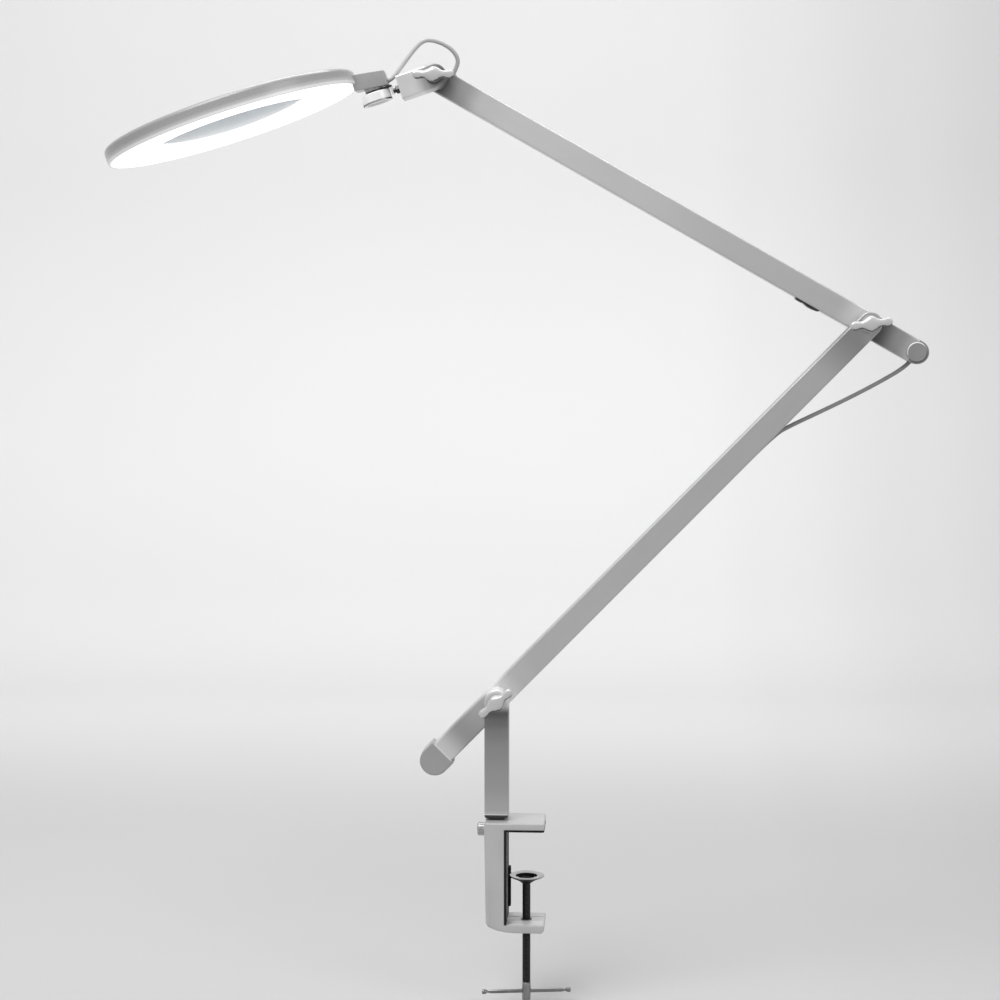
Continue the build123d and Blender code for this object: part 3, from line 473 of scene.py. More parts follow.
def litDiffuser():
    # frosted sheet, lit evenly from behind
    material, tree, shader = startMaterial("litDiffuser")
    frost = placedNoise(tree, 1800, (1, 1, 1), (0, 0, 0), 4.0)
    tone(tree, frost.outputs["Fac"], grey(0.86), grey(0.92), shader.inputs["Base Color"])
    bump = tree.nodes.new("ShaderNodeBump")
    bump.inputs["Strength"].default_value = 0.1
    bump.inputs["Distance"].default_value = 0.0001
    tree.links.new(frost.outputs["Fac"], bump.inputs["Height"])
    tree.links.new(bump.outputs["Normal"], shader.inputs["Normal"])
    shader.inputs["Roughness"].default_value = 0.4
    shader.inputs["Emission Color"].default_value = (1, 1, 1, 1)
    shader.inputs["Emission Strength"].default_value = 0.9
    return material


def lensGlass():
    # clear glass, a little milky from the lit sheet round it
    material, tree, shader = startMaterial("lensGlass")
    haze = placedNoise(tree, 30, (1, 1, 1), (0, 0, 0), 2.0)
    tone(tree, haze.outputs["Fac"], (0.7, 0.76, 0.81), (0.76, 0.82, 0.86), shader.inputs["Base Color"])
    shader.inputs["Roughness"].default_value = 0.03
    shader.inputs["IOR"].default_value = 1.5
    shader.inputs["Transmission Weight"].default_value = 0.6
    return material


paints["litDiffuser"] = litDiffuser()
paints["lensGlass"] = lensGlass()
print("materials ready:", len(paints))

# Finishes of the solids' own meshes, one list of nodes each
nodeFinish = {
    "postMetal": ["post_tube"],
    "lowerMetal": ["lower_arm_tube"],
    "upperMetal": ["upper_arm_tube"],
    "blockMetal": ["tilt_block"],
    "capPlastic": ["elbow_cap", "block_plug"],
    "tailPlastic": ["tail_cap"],
    "footPlastic": ["post_foot"],
    "darkPlastic": ["base_washer", "elbow_washer", "tilt_washer", "power_inlet", "switch_housing",
                    "switch_rocker"],
    "clampPaint": ["clamp_body"],
    "blackRubber": ["jaw_pad", "spine_strip", "arm_grommet"],
    "platedSteel": ["set_screw", "spigot", "post_bush", "lower_arm_bushes", "upper_arm_bushes",
                    "tilt_bush", "base_bolt", "elbow_bolt", "tilt_bolt", "board_screws"],
    "chrome": ["tommy_bar", "pressure_cup"],
    "darkSteel": ["swivel_sleeve", "lock_nut", "clamp_nut"],
    "knobPlate": ["knurled_knob", "base_knob", "elbow_knob", "tilt_knob", "base_knob_washer",
                  "elbow_knob_washer", "eye_link"],
    "discShade": ["tilt_knob_washer"],
    "blackOxide": ["clamp_screw"],
    "headShell": ["head_housing"],
    "leadSheath": ["lower_arm_lead", "elbow_lead", "head_lead_arm", "head_lead_block", "head_lead_neck"],
    "ledBoard": ["led_board"],
    "ledPhosphor": ["led_chips"],
    "turnedBrass": ["neck_insert"],
    # the lens ring glows with the lit sheet's emission: painted light
    "litDiffuser": ["diffuser", "lens_ring"],
    "lensGlass": ["lens"],
}
for paint, members in nodeFinish.items():
    for node in members:
        slots = nodes[node].data.materials
        slots.clear()
        slots.append(paints[paint])

# Patterns by Geometry Nodes: a thread's ridge and a ring of teeth


def newGroup(name, numbers):
    group = bpy.data.node_groups.new(name, "GeometryNodeTree")
    group.is_modifier = True
    for label in numbers:
        kind = "NodeSocketInt" if label == "Count" else "NodeSocketFloat"
        group.interface.new_socket(name=label, in_out="INPUT", socket_type=kind)
    group.interface.new_socket(name="Finish", in_out="INPUT", socket_type="NodeSocketMaterial")
    group.interface.new_socket(name="Geometry", in_out="OUTPUT", socket_type="NodeSocketGeometry")
    return group, group.nodes.new("NodeGroupInput"), group.nodes.new("NodeGroupOutput")


def closeGroup(group, source, start, end):
    real = group.nodes.new("GeometryNodeRealizeInstances")
    finish = group.nodes.new("GeometryNodeSetMaterial")
    group.links.new(source, real.inputs["Geometry"])
    group.links.new(real.outputs["Geometry"], finish.inputs["Geometry"])
    group.links.new(start.outputs["Finish"], finish.inputs["Material"])
    group.links.new(finish.outputs["Geometry"], end.inputs["Geometry"])


def ridgeGroup():
    group, start, end = newGroup("threadRidge", ["Radius", "Height", "Pitch", "Ridge"])
    turns = group.nodes.new("ShaderNodeMath")
    turns.operation = "DIVIDE"
    spiral = group.nodes.new("GeometryNodeCurveSpiral")
    spiral.inputs["Resolution"].default_value = 28
    edge = group.nodes.new("GeometryNodeCurvePrimitiveCircle")
    edge.inputs["Resolution"].default_value = 4
    skin = group.nodes.new("GeometryNodeCurveToMesh")
    group.links.new(start.outputs["Height"], turns.inputs[0])
    group.links.new(start.outputs["Pitch"], turns.inputs[1])
    group.links.new(turns.outputs["Value"], spiral.inputs["Rotations"])
    group.links.new(start.outputs["Radius"], spiral.inputs["Start Radius"])
    group.links.new(start.outputs["Radius"], spiral.inputs["End Radius"])
    group.links.new(start.outputs["Height"], spiral.inputs["Height"])
    group.links.new(start.outputs["Ridge"], edge.inputs["Radius"])
    group.links.new(spiral.outputs["Curve"], skin.inputs["Curve"])
    group.links.new(edge.outputs["Curve"], skin.inputs["Profile Curve"])
    closeGroup(group, skin.outputs["Mesh"], start, end)
    return group


def teethGroup():
    group, start, end = newGroup("toothRing", ["Count", "Radius", "Deep", "Wide", "Tall"])
    ring = group.nodes.new("GeometryNodeMeshCircle")
    tooth = group.nodes.new("GeometryNodeMeshCube")
    size = group.nodes.new("ShaderNodeCombineXYZ")
    spot = group.nodes.new("GeometryNodeInputPosition")
    facing = group.nodes.new("FunctionNodeAlignRotationToVector")
    facing.axis = "X"
    copies = group.nodes.new("GeometryNodeInstanceOnPoints")
    group.links.new(start.outputs["Count"], ring.inputs["Vertices"])
    group.links.new(start.outputs["Radius"], ring.inputs["Radius"])
    group.links.new(start.outputs["Deep"], size.inputs["X"])
    group.links.new(start.outputs["Wide"], size.inputs["Y"])
    group.links.new(start.outputs["Tall"], size.inputs["Z"])
    group.links.new(size.outputs["Vector"], tooth.inputs["Size"])
    group.links.new(spot.outputs["Position"], facing.inputs["Vector"])
    group.links.new(ring.outputs["Mesh"], copies.inputs["Points"])
    group.links.new(tooth.outputs["Mesh"], copies.inputs["Instance"])
    group.links.new(facing.outputs["Rotation"], copies.inputs["Rotation"])
    closeGroup(group, copies.outputs["Instances"], start, end)
    return group


def grown(group, sizes, finish, origin, first, second):
    # the mesh that a group makes with these sizes, placed on a frame
    carrier = bpy.data.objects.new("carrier", bpy.data.meshes.new("carrier"))
    bpy.context.scene.collection.objects.link(carrier)
    modifier = carrier.modifiers.new("pattern", "NODES")
    modifier.node_group = group
    for item in group.interface.items_tree:
        if item.in_out == "INPUT" and item.name in sizes:
            modifier[item.identifier] = sizes[item.name]
        if item.in_out == "INPUT" and item.name == "Finish":
            modifier[item.identifier] = finish
    mesh = bpy.data.meshes.new_from_object(carrier.evaluated_get(bpy.context.evaluated_depsgraph_get()))
    carrier.modifiers.clear()
    bpy.data.objects.remove(carrier)
    third = first.cross(second)
    mesh.transform(Matrix.Translation(origin) @ Matrix((first, second, third)).transposed().to_4x4())
    return mesh


threadRidge = ridgeGroup()
toothRing = teethGroup()

# Winged knobs

wing = {
    "halfSpan": 15.7, "tipRadius": 3.3, "waist": 2.7, "waistEnd": 7.0, "waistRun": 5.0,
    "hub": 5.9, "hubReach": 8.5, "hubFall": 1.2,
    "backHub": 2.2, "backTip": 3.4, "frontHub": 9.9, "frontTip": 9.0, "thin": 2.2, "squareness": 0.8,
    "around": 40, "steps": 72,
    "collar": [(0, 0), (5.0, 0), (5.4, 0.3), (5.4, 2.2), (4.6, 3.0), (0, 3.0)],
    "shade": Vector((0.34, 0, -0.94)), "shadeFrom": 0.62,
}


def easy(value):
    held = max(0.0, min(1.0, value))
    return held * held * (3 - 2 * held)


def wingHalfWidth(u):
    far = abs(u)
    swell = easy((far - wing["waistEnd"]) / wing["waistRun"])
    bar = wing["waist"] + (wing["tipRadius"] - wing["waist"]) * swell
    hub = (wing["hub"] - wing["waist"]) * (1 - easy(far / wing["hubReach"])) ** wing["hubFall"]
    overrun = far - (wing["halfSpan"] - wing["tipRadius"])
    if overrun > 0:
        bar = math.sqrt(max(wing["tipRadius"] ** 2 - overrun ** 2, 1e-4))
    return bar + hub


def squared(value):
    return math.copysign(abs(value) ** wing["squareness"], value)


def wingKnob(name, node, pivot, face, turn):
    # a bar with rounded tips that swells into a hub; its lower faces are painted dark as painted shade
    middle = Vector((pivot.x, face * mm, pivot.z))
    place = framed(middle, heading(turn), heading(turn + 90))
    rings = []
    for i in range(wing["steps"] + 1):
        u = -wing["halfSpan"] * math.cos(math.pi * i / wing["steps"])
        tip = easy(abs(u) / wing["halfSpan"])
        back = wing["backHub"] + (wing["backTip"] - wing["backHub"]) * tip
        front = wing["frontHub"] + (wing["frontTip"] - wing["frontHub"]) * tip
        half = wingHalfWidth(u)
        depth = (front - back) / 2 * min(1.0, half / wing["thin"])
        ring = []
        for k in range(wing["around"]):
            angle = 2 * math.pi * k / wing["around"]
            out = (front + back) / 2 + depth * squared(math.sin(angle))
            ring.append(place(u, half * squared(math.cos(angle)), out))
        rings.append(ring)
    whole = joined([meshOf(*loft(rings)), lathe(wing["collar"], middle, -rear, right)])
    # faces turned down and to the right get the painted shade of the knob's underside
    under, rest = parted(whole, lambda face: face.normal.dot(wing["shade"]) > wing["shadeFrom"])
    addPiece(name, rest, node, paints["knobPlate"], (node,), 50)
    addPiece(name + "ShadeUnder", under, node, paints["knobShade"], (), 50)


# face is the depth of the collar's back, turn the direction of the wings
knobs = {
    "baseWing": {"node": "base_knob", "pivot": lamp["base"], "face": -10.0, "turn": 40},
    "elbowWing": {"node": "elbow_knob", "pivot": lamp["elbow"], "face": 8.8, "turn": 7},
    "tiltWing": {"node": "tilt_knob", "pivot": lamp["head"], "face": 8.8, "turn": 0},
}
for knob, place in knobs.items():
    wingKnob(knob, **place)
print("winged knobs done")

# Clamp, in millimetres from the middle of its screw

clamp = {
    "spineTop": -31.4, "spineLow": -30.2, "inner": -16.0, "reach": 14.1, "top": 6.5, "pad": 1.3,
    "gap": -71.5, "bottom": -77.7, "half": 19.0, "cornerRun": 25.0, "cornerRise": 8.0,
    "noseRun": 1.6, "noseRise": 2.2, "edge": 0.9,
    "frontRound": 2.4, "roundSide": -29.0, "roundLow": -73.0,
    "post": -22.6, "sleeve": 5.2, "sleeveFrom": -14.0, "sleeveTall": 30.0,
    "shank": 2.05, "shankFrom": -36.0, "shankLong": 14.0, "setLevel": -2.0,
    "screwHole": 3.4, "holeFrom": -80.7, "holeTall": 14.0,
    "nut": [(3.15, -6.0), (4.2, -6.0), (4.2, 0.35), (3.9, 0.6), (3.3, 0.6), (3.15, 0.4)],
}


def onFrontCorner(edge):
    # the spine's front corner, from the top down to the bend
    return all(
        abs(v.co.y + clamp["half"] * mm) < 1e-6
        and v.co.x < clamp["roundSide"] * mm
        and v.co.z > clamp["roundLow"] * mm
        for v in edge.verts
    )


def clampBody():
    # one bent channel round three sides of the jaw gap, closed along the top of its lower jaw
    run, rise = clamp["cornerRun"], clamp["cornerRise"]
    corner = [(clamp["spineLow"] + run - run * u, clamp["bottom"] + rise - rise * v)
              for u, v in arcPoints((0, 0), 1, 0, 90, 16)]
    outline = [(clamp["spineTop"], clamp["top"])] + corner + [
        (clamp["reach"] - clamp["noseRun"], clamp["bottom"]),
        (clamp["reach"], clamp["bottom"] + clamp["noseRise"]),
        (clamp["reach"], clamp["gap"]),
        (clamp["inner"], clamp["gap"]),
        (clamp["inner"], clamp["pad"]),
        (clamp["reach"], clamp["pad"]),
        (clamp["reach"], clamp["top"]),
    ]
    place = framed(Vector((0, clamp["half"] * mm, 0)), right, upward)
    body = prism(outline, place, 0, 2 * clamp["half"])
    rounded(body, clamp["frontRound"], onFrontCorner, 5)
    rounded(body, clamp["edge"], sharperThan(1.0))
    sleeveFoot = Vector((clamp["post"], 0, clamp["sleeveFrom"])) * mm
    shankFoot = Vector((clamp["shankFrom"], 0, clamp["setLevel"])) * mm
    holeFoot = Vector((0, 0, clamp["holeFrom"])) * mm
    body = cut(body, [
        rod(clamp["sleeve"], 0, clamp["sleeveTall"], sleeveFoot, upward, right),
        rod(clamp["shank"], 0, clamp["shankLong"], shankFoot, right, upward),
        rod(clamp["screwHole"], 0, clamp["holeTall"], holeFoot, upward, right),
    ])
    addPiece("clampCasting", body, "clamp", paints["clampPaint"], ("clamp_body",), 35)


jaw = {
    "ribs": 4, "ribFrom": 8.1, "ribStep": 2.9,
    "start": -14.3, "end": 13.2, "half": 1.1, "sunk": -0.1, "proud": 0.3,
}


def jawRibs():
    # fine ribs along the top of the lower jaw, on both sides of the screw
    low, high = (jaw["start"], -jaw["half"]), (jaw["end"], jaw["half"])
    ribs = []
    for side in (-1, 1):
        for i in range(jaw["ribs"]):
            depth = side * (jaw["ribFrom"] + jaw["ribStep"] * i)
            place = framed(Vector((0, depth, clamp["gap"])) * mm, right, rear)
            ribs.append(slab(low, high, place, jaw["sunk"], jaw["proud"]))
    # the ribs use a lighter copy of the clamp's paint: painted light on the jaw's top
    addPiece("jawRibs", joined(ribs), "clamp", paints["jawPaintLit"], (), 30)


# Liner, its thin line and the strip; corners are (across, up) on the spine's inner face
liner = {
    "thick": 1.5, "start": (-19.0, -71.4), "end": (19.0, 1.2),
    "seamStart": (-11.4, -71.0), "seamEnd": (-9.2, 1.0), "seamSunk": -0.1, "seamProud": 0.3,
    "stripStart": (11.6, -65.1), "stripEnd": (18.6, -34.4), "stripThick": 1.8, "stripEdge": 0.5,
}


def spineLiner():
    inner = framed(Vector((clamp["inner"], 0, 0)) * mm, rear, upward)
    face = framed(Vector((clamp["inner"] + liner["thick"], 0, 0)) * mm, rear, upward)
    sheet = slab(liner["start"], liner["end"], inner, 0, liner["thick"])
    seam = slab(liner["seamStart"], liner["seamEnd"], face, liner["seamSunk"], liner["seamProud"])
    strip = slab(liner["stripStart"], liner["stripEnd"], face, 0, liner["stripThick"])
    rounded(strip, liner["stripEdge"], sharperThan(1.0))
    addPiece("spineLiner", sheet, "clamp", paints["blackRubber"], (), 30)
    addPiece("linerSeam", seam, "clamp", paints["platedSteel"], (), 30)
    addPiece("spineStrip", strip, "clamp", paints["blackRubber"], ("spine_strip",), 40)


def nutRing():
    # the wall beside the screw's thread is left out, as the thread covers it
    points, faces = turned(clamp["nut"], Vector((0, 0, clamp["gap"])) * mm, upward, right)
    ring = meshOf(points, faces[:-2])
    addPiece("nutRing", ring, "clamp", paints["darkSteel"], ("clamp_nut",), 40)


clampBody()
jawRibs()
spineLiner()
nutRing()

# Pressure cup with its toothed recess; outlines are (radius, height over the rim)

cup = {
    "rim": -37.0, "teeth": 30, "toothRing": 6.9, "toothDeep": 2.0, "toothWide": 0.6, "toothTall": 1.2,
    "toothLevel": -2.4,
    "crown": [(8.3, -0.7), (12.6, 0.0), (13.6, -0.3), (13.6, -0.7), (8.3, -1.6)],
    "cone": [(0, -3.0), (8.0, -3.0), (8.4, -1.2), (13.4, -0.5), (13.5, -0.9), (12.4, -1.5), (8.2, -3.3),
             (4.6, -5.4), (3.4, -6.6), (0, -6.6)],
    "floor": [(0, -2.9), (8.0, -2.9), (8.3, -0.8), (8.3, -3.1), (0, -3.1)],
}


def toothSizes(piece):
    return {
        "Count": piece["teeth"], "Radius": piece["toothRing"] * mm, "Deep": piece["toothDeep"] * mm,
        "Wide": piece["toothWide"] * mm, "Tall": piece["toothTall"] * mm,
    }


def pressureCup():
    middle = Vector((0, 0, cup["rim"])) * mm
    crown = hoop(cup["crown"], middle, upward, right, 128)
    cone = lathe(cup["cone"], middle, upward, right, 128)
    floor = lathe(cup["floor"], middle, upward, right, 96)
    toothMiddle = middle + upward * cup["toothLevel"] * mm
    teeth = grown(toothRing, toothSizes(cup), paints["chrome"], toothMiddle, right, rear)
    addPiece("cupRing", crown, "pressure_cup", paints["chrome"], ("pressure_cup",), 40)
    # the cone under the rim and the recess floor are near black: painted shade under the cup and in its
    # recess
    addPiece("cupCone", cone, "pressure_cup", paints["cupShade"], (), 40)
    addPiece("cupFloor", floor, "pressure_cup", paints["cupShade"], (), 40)
    addPiece("cupTeeth", teeth, "pressure_cup", paints["chrome"], (), 30)


pressureCup()

# Clamp screw with its thread and boss, and the bar through the boss

shaft = {
    "top": -43.7, "bottom": -134.5, "boss": 14.0, "core": 2.9, "chamfer": 0.1, "chamferTall": 0.4,
    "threadFrom": -120.3, "threadTall": 75.5, "pitch": 1.0, "ridge": 0.3,
    "bossOutline": [(0, 0), (2.8, 0), (3.3, 0.6), (3.3, 13.6), (2.9, 14), (0, 14)],
}
bar = {
    "level": 7.0, "turn": 8.0, "hole": 1.56, "holeHalf": 8.0,
    "half": [(1.5, 27.0), (0.95, 29.0), (0.95, 30.4), (1.5, 31.0), (1.9, 31.6), (1.9, 33.4), (1.5, 34.1),
             (0, 34.2)],
}


def clampScrew():
    foot = Vector((0, 0, shaft["bottom"])) * mm
    barMiddle = foot + upward * bar["level"] * mm
    barAlong = right * math.cos(math.radians(bar["turn"])) + rear * math.sin(math.radians(bar["turn"]))
    low = shaft["bottom"] + shaft["boss"]
    core = lathe([
        (0, shaft["top"]), (shaft["core"] - shaft["chamfer"], shaft["top"]),
        (shaft["core"], shaft["top"] - shaft["chamferTall"]), (shaft["core"], low), (0, low),
    ], Vector((0, 0, 0)), upward, right, 48)
    threadSizes = {
        "Radius": shaft["core"] * mm, "Height": shaft["threadTall"] * mm,
        "Pitch": shaft["pitch"] * mm, "Ridge": shaft["ridge"] * mm,
    }
    threadFoot = Vector((0, 0, shaft["threadFrom"])) * mm
    oxide = paints["blackOxide"]
    thread = joined([core, grown(threadRidge, threadSizes, oxide, threadFoot, right, rear)])
    addPiece("screwThread", thread, "clamp_screw", oxide, ("clamp_screw",), 50)
    boss = lathe(shaft["bossOutline"], foot, upward, right, 64)
    barHole = rod(bar["hole"], -bar["holeHalf"], bar["holeHalf"], barMiddle, barAlong, upward, 32)
    addPiece("screwBoss", cut(boss, [barHole]), "clamp_screw", paints["bossSteel"], (), 40)
    mirrored = [(radius, -height) for radius, height in reversed(bar["half"])]
    tommyBar = lathe(mirrored + bar["half"], barMiddle, barAlong, upward, 48)
    addPiece("tommyBar", tommyBar, "tommy_bar", paints["barSteel"], ("tommy_bar",), 45)


clampScrew()
print("clamp done")

# Head: disc with a rounded rim, and the well round the lens, which glows as painted light

disc = {
    "radius": 99.0, "tall": 12.0, "round": 3.6, "bevel": 0.4, "wall": 1.8, "opening": 65.6,
    "well": [(63.5, 7.4), (63.5, 0.2), (65.5, 0.2), (65.6, 11.6), (65.2, 12.0), (64.0, 12.0),
             (63.5, 11.4), (63.5, 9.4), (61.3, 9.4), (61.3, 7.5)],
}


def headDisc():
    inner = disc["radius"] - disc["wall"]
    ceiling = disc["tall"] - disc["wall"]
    rimMiddle = (disc["radius"] - disc["round"], disc["tall"] - disc["round"])
    outline = [
        (inner, 0), (disc["radius"] - disc["bevel"], 0), (disc["radius"], disc["bevel"]),
        *arcPoints(rimMiddle, disc["round"], 0, 90, 8),
        (disc["opening"], disc["tall"]), (disc["opening"], ceiling), (inner, ceiling),
    ]
    shell = hoop(outline, lamp["disc"], discUp, toArm, 192)
    well = hoop(disc["well"], lamp["disc"], discUp, toArm, 160)
    addPiece("headShell", shell, "head", paints["headShell"], ("head_housing",), 35)
    # the well glows with the lit sheet's emission: painted light on its walls
    addPiece("lensWell", well, "head", paints["litDiffuser"], (), 35)


headDisc()

# Neck, in millimetres from the disc's middle towards the arm and up the disc's axis

neck = {
    "root": 96.0, "rootLow": -5.0, "rootHigh": 7.4, "tip": 121.7, "tipLow": -8.2, "tipHigh": 3.0,
    "half": 9.0, "tipRound": 2.2, "roundFrom": 121.0, "edge": 0.6,
    "knuckle": 109.5, "pinHole": 4.0, "pinFrom": -12.0, "pinTo": -0.5,
    "mouth": -5.4, "mouthRadius": 2.3, "mouthHalf": 6.0,
    "boss": [(4.0, -8.5), (6.8, -8.5), (7.0, -8.3), (7.0, -4.0), (4.0, -4.0)],
    "tongue": [(93.0, 4), (112.0, 4), (111.0, 8.6), (93.0, 31)], "tongueLow": 0.1, "tongueHigh": 1.6,
    "discRoom": 98.6,
}
across = framed(lamp["disc"], toArm, discUp)
onDisc = framed(lamp["disc"], toArm, discAcross)
pin = lamp["disc"] + toArm * neck["knuckle"] * mm


def atTip(edge):
    # the two upright edges at the neck's free end
    along = (edge.verts[0].co - edge.verts[1].co).normalized()
    far = all((v.co - lamp["disc"]).dot(toArm) > neck["roundFrom"] * mm for v in edge.verts)
    return far and abs(along.dot(discUp)) > 0.9


def headNeck():
    side = [
        (neck["root"], neck["rootLow"]), (neck["tip"], neck["tipLow"]),
        (neck["tip"], neck["tipHigh"]), (neck["root"], neck["rootHigh"]),
    ]
    body = prism(side, across, -neck["half"], neck["half"])
    rounded(body, neck["tipRound"], atTip, 5)
    rounded(body, neck["edge"], sharperThan(0.6))
    mouth = lamp["disc"] + (toArm * neck["tip"] + discUp * neck["mouth"]) * mm
    body = cut(body, [
        rod(neck["pinHole"], neck["pinFrom"], neck["pinTo"], pin, discUp, toArm, 48),
        rod(neck["mouthRadius"], -neck["mouthHalf"], neck["mouthHalf"], mouth, toArm, discUp, 32),
    ])
    boss = hoop(neck["boss"], pin, discUp, toArm, 64)
    tongue = prism(neck["tongue"], onDisc, neck["tongueLow"], neck["tongueHigh"])
    tongue = cut(tongue, [rod(neck["discRoom"], -2, 4, lamp["disc"], discUp, toArm, 160)])
    # the neck and its boss use a dark copy of the shell's finish as painted shade; the tongue uses a
    # paler copy as painted shade under the disc
    addPiece("neckBody", body, "head", paints["neckShellShaded"], (), 40)
    addPiece("neckBoss", boss, "head", paints["neckShellShaded"], (), 40)
    addPiece("neckTongue", tongue, "head", paints["paleShell"], (), 40)


headNeck()

# Knurled drum under the neck, with its pin; outline from the pin's top to the recess underneath

drum = {
    "top": -10.3, "teeth": 60, "toothRing": 11.1, "toothDeep": 0.7, "toothWide": 0.6, "toothTall": 1.1,
    "toothLevel": -7.2,
    "outline": [(0, 7.8), (2.6, 7.8), (3.0, 7.4), (3.0, 0.0), (10.6, 0.0), (11.4, -0.8), (11.4, -6.4),
                (11.0, -6.8), (11.0, -7.6), (10.6, -8.0), (8.5, -8.0), (8.5, -6.6), (0, -6.6)],
}


def gripDrum():
    top = pin + discUp * drum["top"] * mm
    toothMiddle = top + discUp * drum["toothLevel"] * mm
    teeth = grown(toothRing, toothSizes(drum), paints["bossSteel"], toothMiddle, toArm, -discAcross)
    body = lathe(drum["outline"], top, discUp, toArm, 96)
    addPiece("gripDrum", body, "knurled_knob", paints["drumPlate"], ("knurled_knob",), 35)
    addPiece("drumTeeth", teeth, "knurled_knob", paints["bossSteel"], (), 35)


gripDrum()

# Link between the neck and the tilt block: thin plate, small stud and nut

link = {
    "top": -8.5, "thick": 1.6, "half": 4.0, "start": 109.5, "web": 123.4, "webLow": -15.4,
    "eye": 6.6, "play": 0.02, "bore": 3.05, "boreFrom": -14.0, "boreTo": -6.0,
    "foot": 27.0, "stud": 1.8, "studLong": 7.4,
    "nut": [(0, 1.0), (3.4, 1.0), (3.4, 3.6), (2.9, 4.0), (0, 4.0)],
}


def neckLink():
    low = link["top"] - link["thick"]
    bore = rod(link["bore"], link["boreFrom"], link["boreTo"], pin, discUp, toArm, 48)
    half = link["half"]
    strap = slab((link["start"], link["top"]), (link["web"], low), across, -half, half)
    eye = rod(link["eye"], low, link["top"] - link["play"], pin, discUp, toArm, 64)
    web = slab((link["web"] - link["thick"], low), (link["web"], link["webLow"]), across, -half, half)
    plate = joined([cut(strap, [bore]), cut(eye, [bore])])
    foot = lamp["head"] + rear * lamp["lowerMiddle"] - toArm * link["foot"] * mm
    stud = rod(link["stud"], 0, link["studLong"], foot, -toArm, discAcross, 32)
    nut = lathe(link["nut"], foot, -toArm, discAcross, 6)
    addPiece("linkWeb", web, "knuckle", paints["paleShell"], (), 30)
    # the strap is painted near black: painted shade between the neck and the drum
    addPiece("linkStrap", plate, "knuckle", paints["darkSteel"], ("eye_link",), 35)
    addPiece("linkStud", joined([stud, nut]), "knuckle", paints["darkSteel"], ("lock_nut",), 30)


neckLink()
print("head done")

# Painted highlight along the tail cap's seam, and painted highlight and shade round the elbow cap's disc

trim = {
    "seamStart": (-60.4, -9), "seamEnd": (-59.7, 9), "seamLow": -9.9, "seamHigh": -9.6,
    "rimDepth": 10.2, "rim": [(6.9, 0), (7.5, -0.6), (7.65, -0.3), (7.05, 0.15)],
}


def capTrim():
    place = framed(lamp["base"], heading(lamp["lowerAngle"]), heading(lamp["lowerAngle"] + 90))
    seam = slab(trim["seamStart"], trim["seamEnd"], place, trim["seamLow"], trim["seamHigh"])
    middle = Vector((capDisc.x, lamp["upperMiddle"] - trim["rimDepth"] * mm, capDisc.z))
    edge = hoop(trim["rim"], middle, -rear, right, 96)
    addPiece("capSeamHighlight", seam, "lower_arm", paints["paleShell"], (), 30)
    addPiece("capRim", edge, "upper_arm", paints["rimShade"], (), 40)


capTrim()

# Leads: one smooth line each, curving from the part at one end to the part at the other

lead = {"radius": 0.0016, "seat": 8.3, "grooveJoin": 264, "capExit": -42.9, "armExit": 366.4}
lowerAlong = heading(lamp["lowerAngle"])
lowerAcross = heading(lamp["lowerAngle"] + 90)
upperAlong = heading(lamp["upperAngle"])
upperAcross = heading(lamp["upperAngle"] + 90)


def underArm(place, drop, level):
    # along the lower arm from the base pivot, under its middle line, at a depth
    point = lamp["base"] + (lowerAlong * place - lowerAcross * drop) * mm
    return Vector((point.x, level * mm, point.z))


def upperPoint(place, drop):
    point = lamp["elbow"] + (upperAlong * place + upperAcross * drop) * mm
    return Vector((point.x, lamp["upperMiddle"], point.z))


def addLead(name, points, node, paint="leadSheath"):
    curve = bpy.data.curves.new(name + "Route", "CURVE")
    curve.dimensions = "3D"
    spline = curve.splines.new("NURBS")
    spline.points.add(len(points) - 1)
    for item, point in zip(spline.points, points):
        item.co = (*point, 1)
    spline.order_u = 3
    spline.use_endpoint_u = True
    spline.resolution_u = 12
    curve.bevel_depth = lead["radius"]
    curve.bevel_resolution = 5
    curve.use_fill_caps = True
    carrier = bpy.data.objects.new(name + "Route", curve)
    bpy.context.scene.collection.objects.link(carrier)
    evaluated = carrier.evaluated_get(bpy.context.evaluated_depsgraph_get())
    mesh = bpy.data.meshes.new_from_object(evaluated)
    bpy.data.objects.remove(carrier)
    piece = addPiece(name, mesh, None, paints[paint], (node,), 60)
    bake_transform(piece)


capExit = upperPoint(lead["capExit"], 9)
elbowRoute = [
    capExit - upperAcross * 0.003,
    capExit + upperAcross * 0.0025,
    underArm(376, 38.6, 34.4),
    underArm(350, 29.8, 27.4),
    underArm(322, 19.3, 20.8),
    underArm(303, 12.2, 18.8),
    underArm(290, lead["seat"], 18.8),
    underArm(lead["grooveJoin"], lead["seat"], 18.8),
]
# the elbow lead uses a darker copy of the sheath: painted shade
addLead("elbowLead", elbowRoute, "elbow_lead", "shadedSheath")

loopTop = Vector((-0.0715, 0.0302, 0.5957))
loopShoulder = Vector((-0.0802, 0.0279, 0.5955))
loopSlope = Vector((-0.088, 0.0254, 0.5868))
loopDrop = Vector((-0.0962, 0.0226, 0.5748))
neckApproach = Vector((-0.102, 0.0206, 0.567))
loopHandover = (loopShoulder + loopSlope) / 2
loopMiddle = (loopDrop + neckApproach) / 2
neckMouth = lamp["disc"] + (toArm * neck["tip"] + discUp * neck["mouth"]) * mm
armRoute = [
    upperPoint(lead["armExit"], -5.7),
    upperPoint(lead["armExit"], -14),
    Vector((-0.0536, 0.0354, 0.5825)),
    Vector((-0.06, 0.0332, 0.5909)),
    loopTop,
    loopShoulder,
    loopHandover,
]
blockRoute = [loopHandover, loopSlope, loopDrop, loopMiddle]
neckRoute = [
    loopMiddle,
    neckApproach,
    neckMouth + toArm * 0.0012 + discUp * 0.0006,
    neckMouth - toArm * 0.005,
]
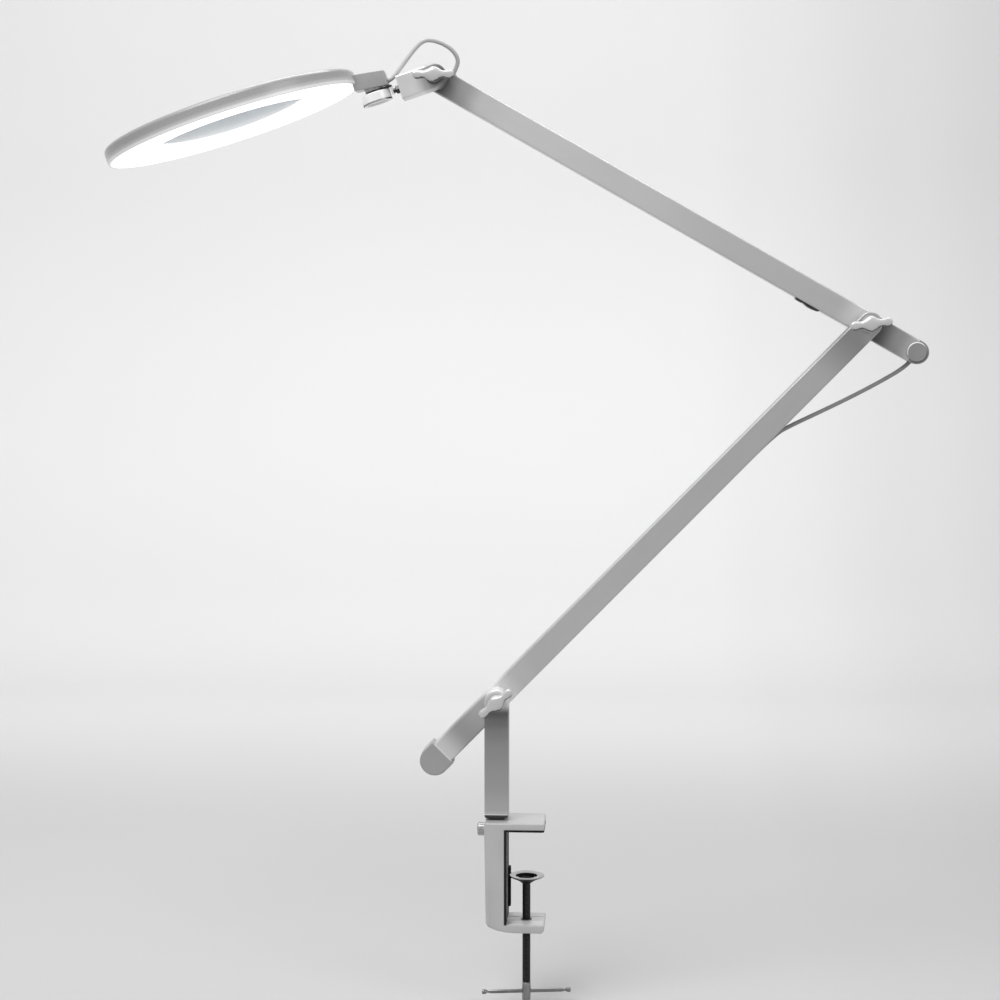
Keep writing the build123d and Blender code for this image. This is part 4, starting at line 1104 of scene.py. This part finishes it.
addLead("headLeadArm", armRoute, "head_lead_arm")
addLead("headLeadBlock", blockRoute, "head_lead_block")
addLead("headLeadNeck", neckRoute, "head_lead_neck")
print("leads laid")

# Stage, light and camera

# lengths in metres; the painted shade on the paper goes by (millimetres, level)
stage = {
    "floorLevel": -0.1368, "floorSize": 6.0, "backDistance": 2.2, "bend": 0.8, "bendSteps": 24,
    "wallTop": 3.5, "roomTone": 0.9, "roomLight": 0.55,
    "depthPaintedShade": [(-1000, 0.47), (500, 0.5), (1350, 0.69), (1750, 0.76), (2200, 0.85)],
    "sidePaintedShade": [(-1000, 1.0), (200, 1.0), (300, 0.97), (560, 0.89), (720, 0.84), (1500, 0.8)],
}


def sweepPaper():
    # pale paper, with painted shade darkening it towards the front and the right
    material, tree, shader = startMaterial("paperSweep")
    paper = placedNoise(tree, 3, (1, 1, 1), (0, 0, 0), 2.0)
    colour = shader.inputs["Base Color"]
    tone(tree, paper.outputs["Fac"], grey(0.99), grey(1.0), colour)
    for direction, levels in ((rear, stage["depthPaintedShade"]), (right, stage["sidePaintedShade"])):
        paintedLight = {"origin": (0, 0, 0), "direction": tuple(direction), "levels": levels}
        paintedLightAlong(tree, paintedLight, colour, colour.links[0].from_socket)
    shader.inputs["Roughness"].default_value = 0.9
    return material


def buildStage():
    # floor that curves up into the backdrop
    half, bend = stage["floorSize"], stage["bend"]
    rows = [(-half / 2, stage["floorLevel"])]
    for i in range(stage["bendSteps"] + 1):
        angle = -math.pi / 2 + math.pi / 2 * i / stage["bendSteps"]
        depth = stage["backDistance"] - bend + bend * math.cos(angle)
        rows.append((depth, stage["floorLevel"] + bend * (1 + math.sin(angle))))
    rows.append((stage["backDistance"], stage["wallTop"]))
    points = [(x, y, z) for y, z in rows for x in (-half, half)]
    faces = [(2 * i, 2 * i + 1, 2 * i + 3, 2 * i + 2) for i in range(len(rows) - 1)]
    mesh = meshOf(points, faces)
    mesh.materials.append(sweepPaper())
    for polygon in mesh.polygons:
        polygon.use_smooth = True
    sweep = bpy.data.objects.new("sweep", mesh)
    bpy.context.scene.collection.objects.link(sweep)


def addLight(name, place, target, size, power):
    light = bpy.data.lights.new(name, "AREA")
    light.shape = "RECTANGLE"
    light.size, light.size_y = size
    light.energy = power
    holder = bpy.data.objects.new(name, light)
    bpy.context.scene.collection.objects.link(holder)
    holder.location = place
    holder.rotation_euler = (Vector(target) - Vector(place)).to_track_quat("-Z", "Y").to_euler()


lights = {
    "keyAbove": {"place": (-0.9, -1.0, 2.3), "target": (0, 0, 0.3), "size": (1.5, 1.5), "power": 42},
    "fillRight": {"place": (1.9, -1.4, 1.2), "target": (0, 0, 0.3), "size": (1.2, 1.6), "power": 14},
    "topBack": {"place": (0.2, 1.0, 2.4), "target": (0, 0, 0.4), "size": (2.4, 1.0), "power": 30},
}
buildStage()
for name, light in lights.items():
    addLight(name, **light)

world = bpy.data.worlds.new("softRoom")
world.use_nodes = True
room = world.node_tree.nodes["Background"]
room.inputs["Color"].default_value = (*grey(stage["roomTone"]), 1)
room.inputs["Strength"].default_value = stage["roomLight"]
bpy.context.scene.world = world

view = {
    "place": (0.07333, -1.61179, 0.37863), "down": 4.565, "turn": 3.323, "lens": 77.4, "sensor": 36.0,
}
camera = bpy.data.objects.new("camera", bpy.data.cameras.new("camera"))
bpy.context.scene.collection.objects.link(camera)
camera.data.sensor_width = view["sensor"]
camera.data.lens = view["lens"]
camera.location = view["place"]
camera.rotation_euler = (math.radians(90 - view["down"]), 0, math.radians(view["turn"]))
bpy.context.scene.camera = camera
bpy.context.scene.view_settings.view_transform = "Standard"
print("stage, lights and camera set")
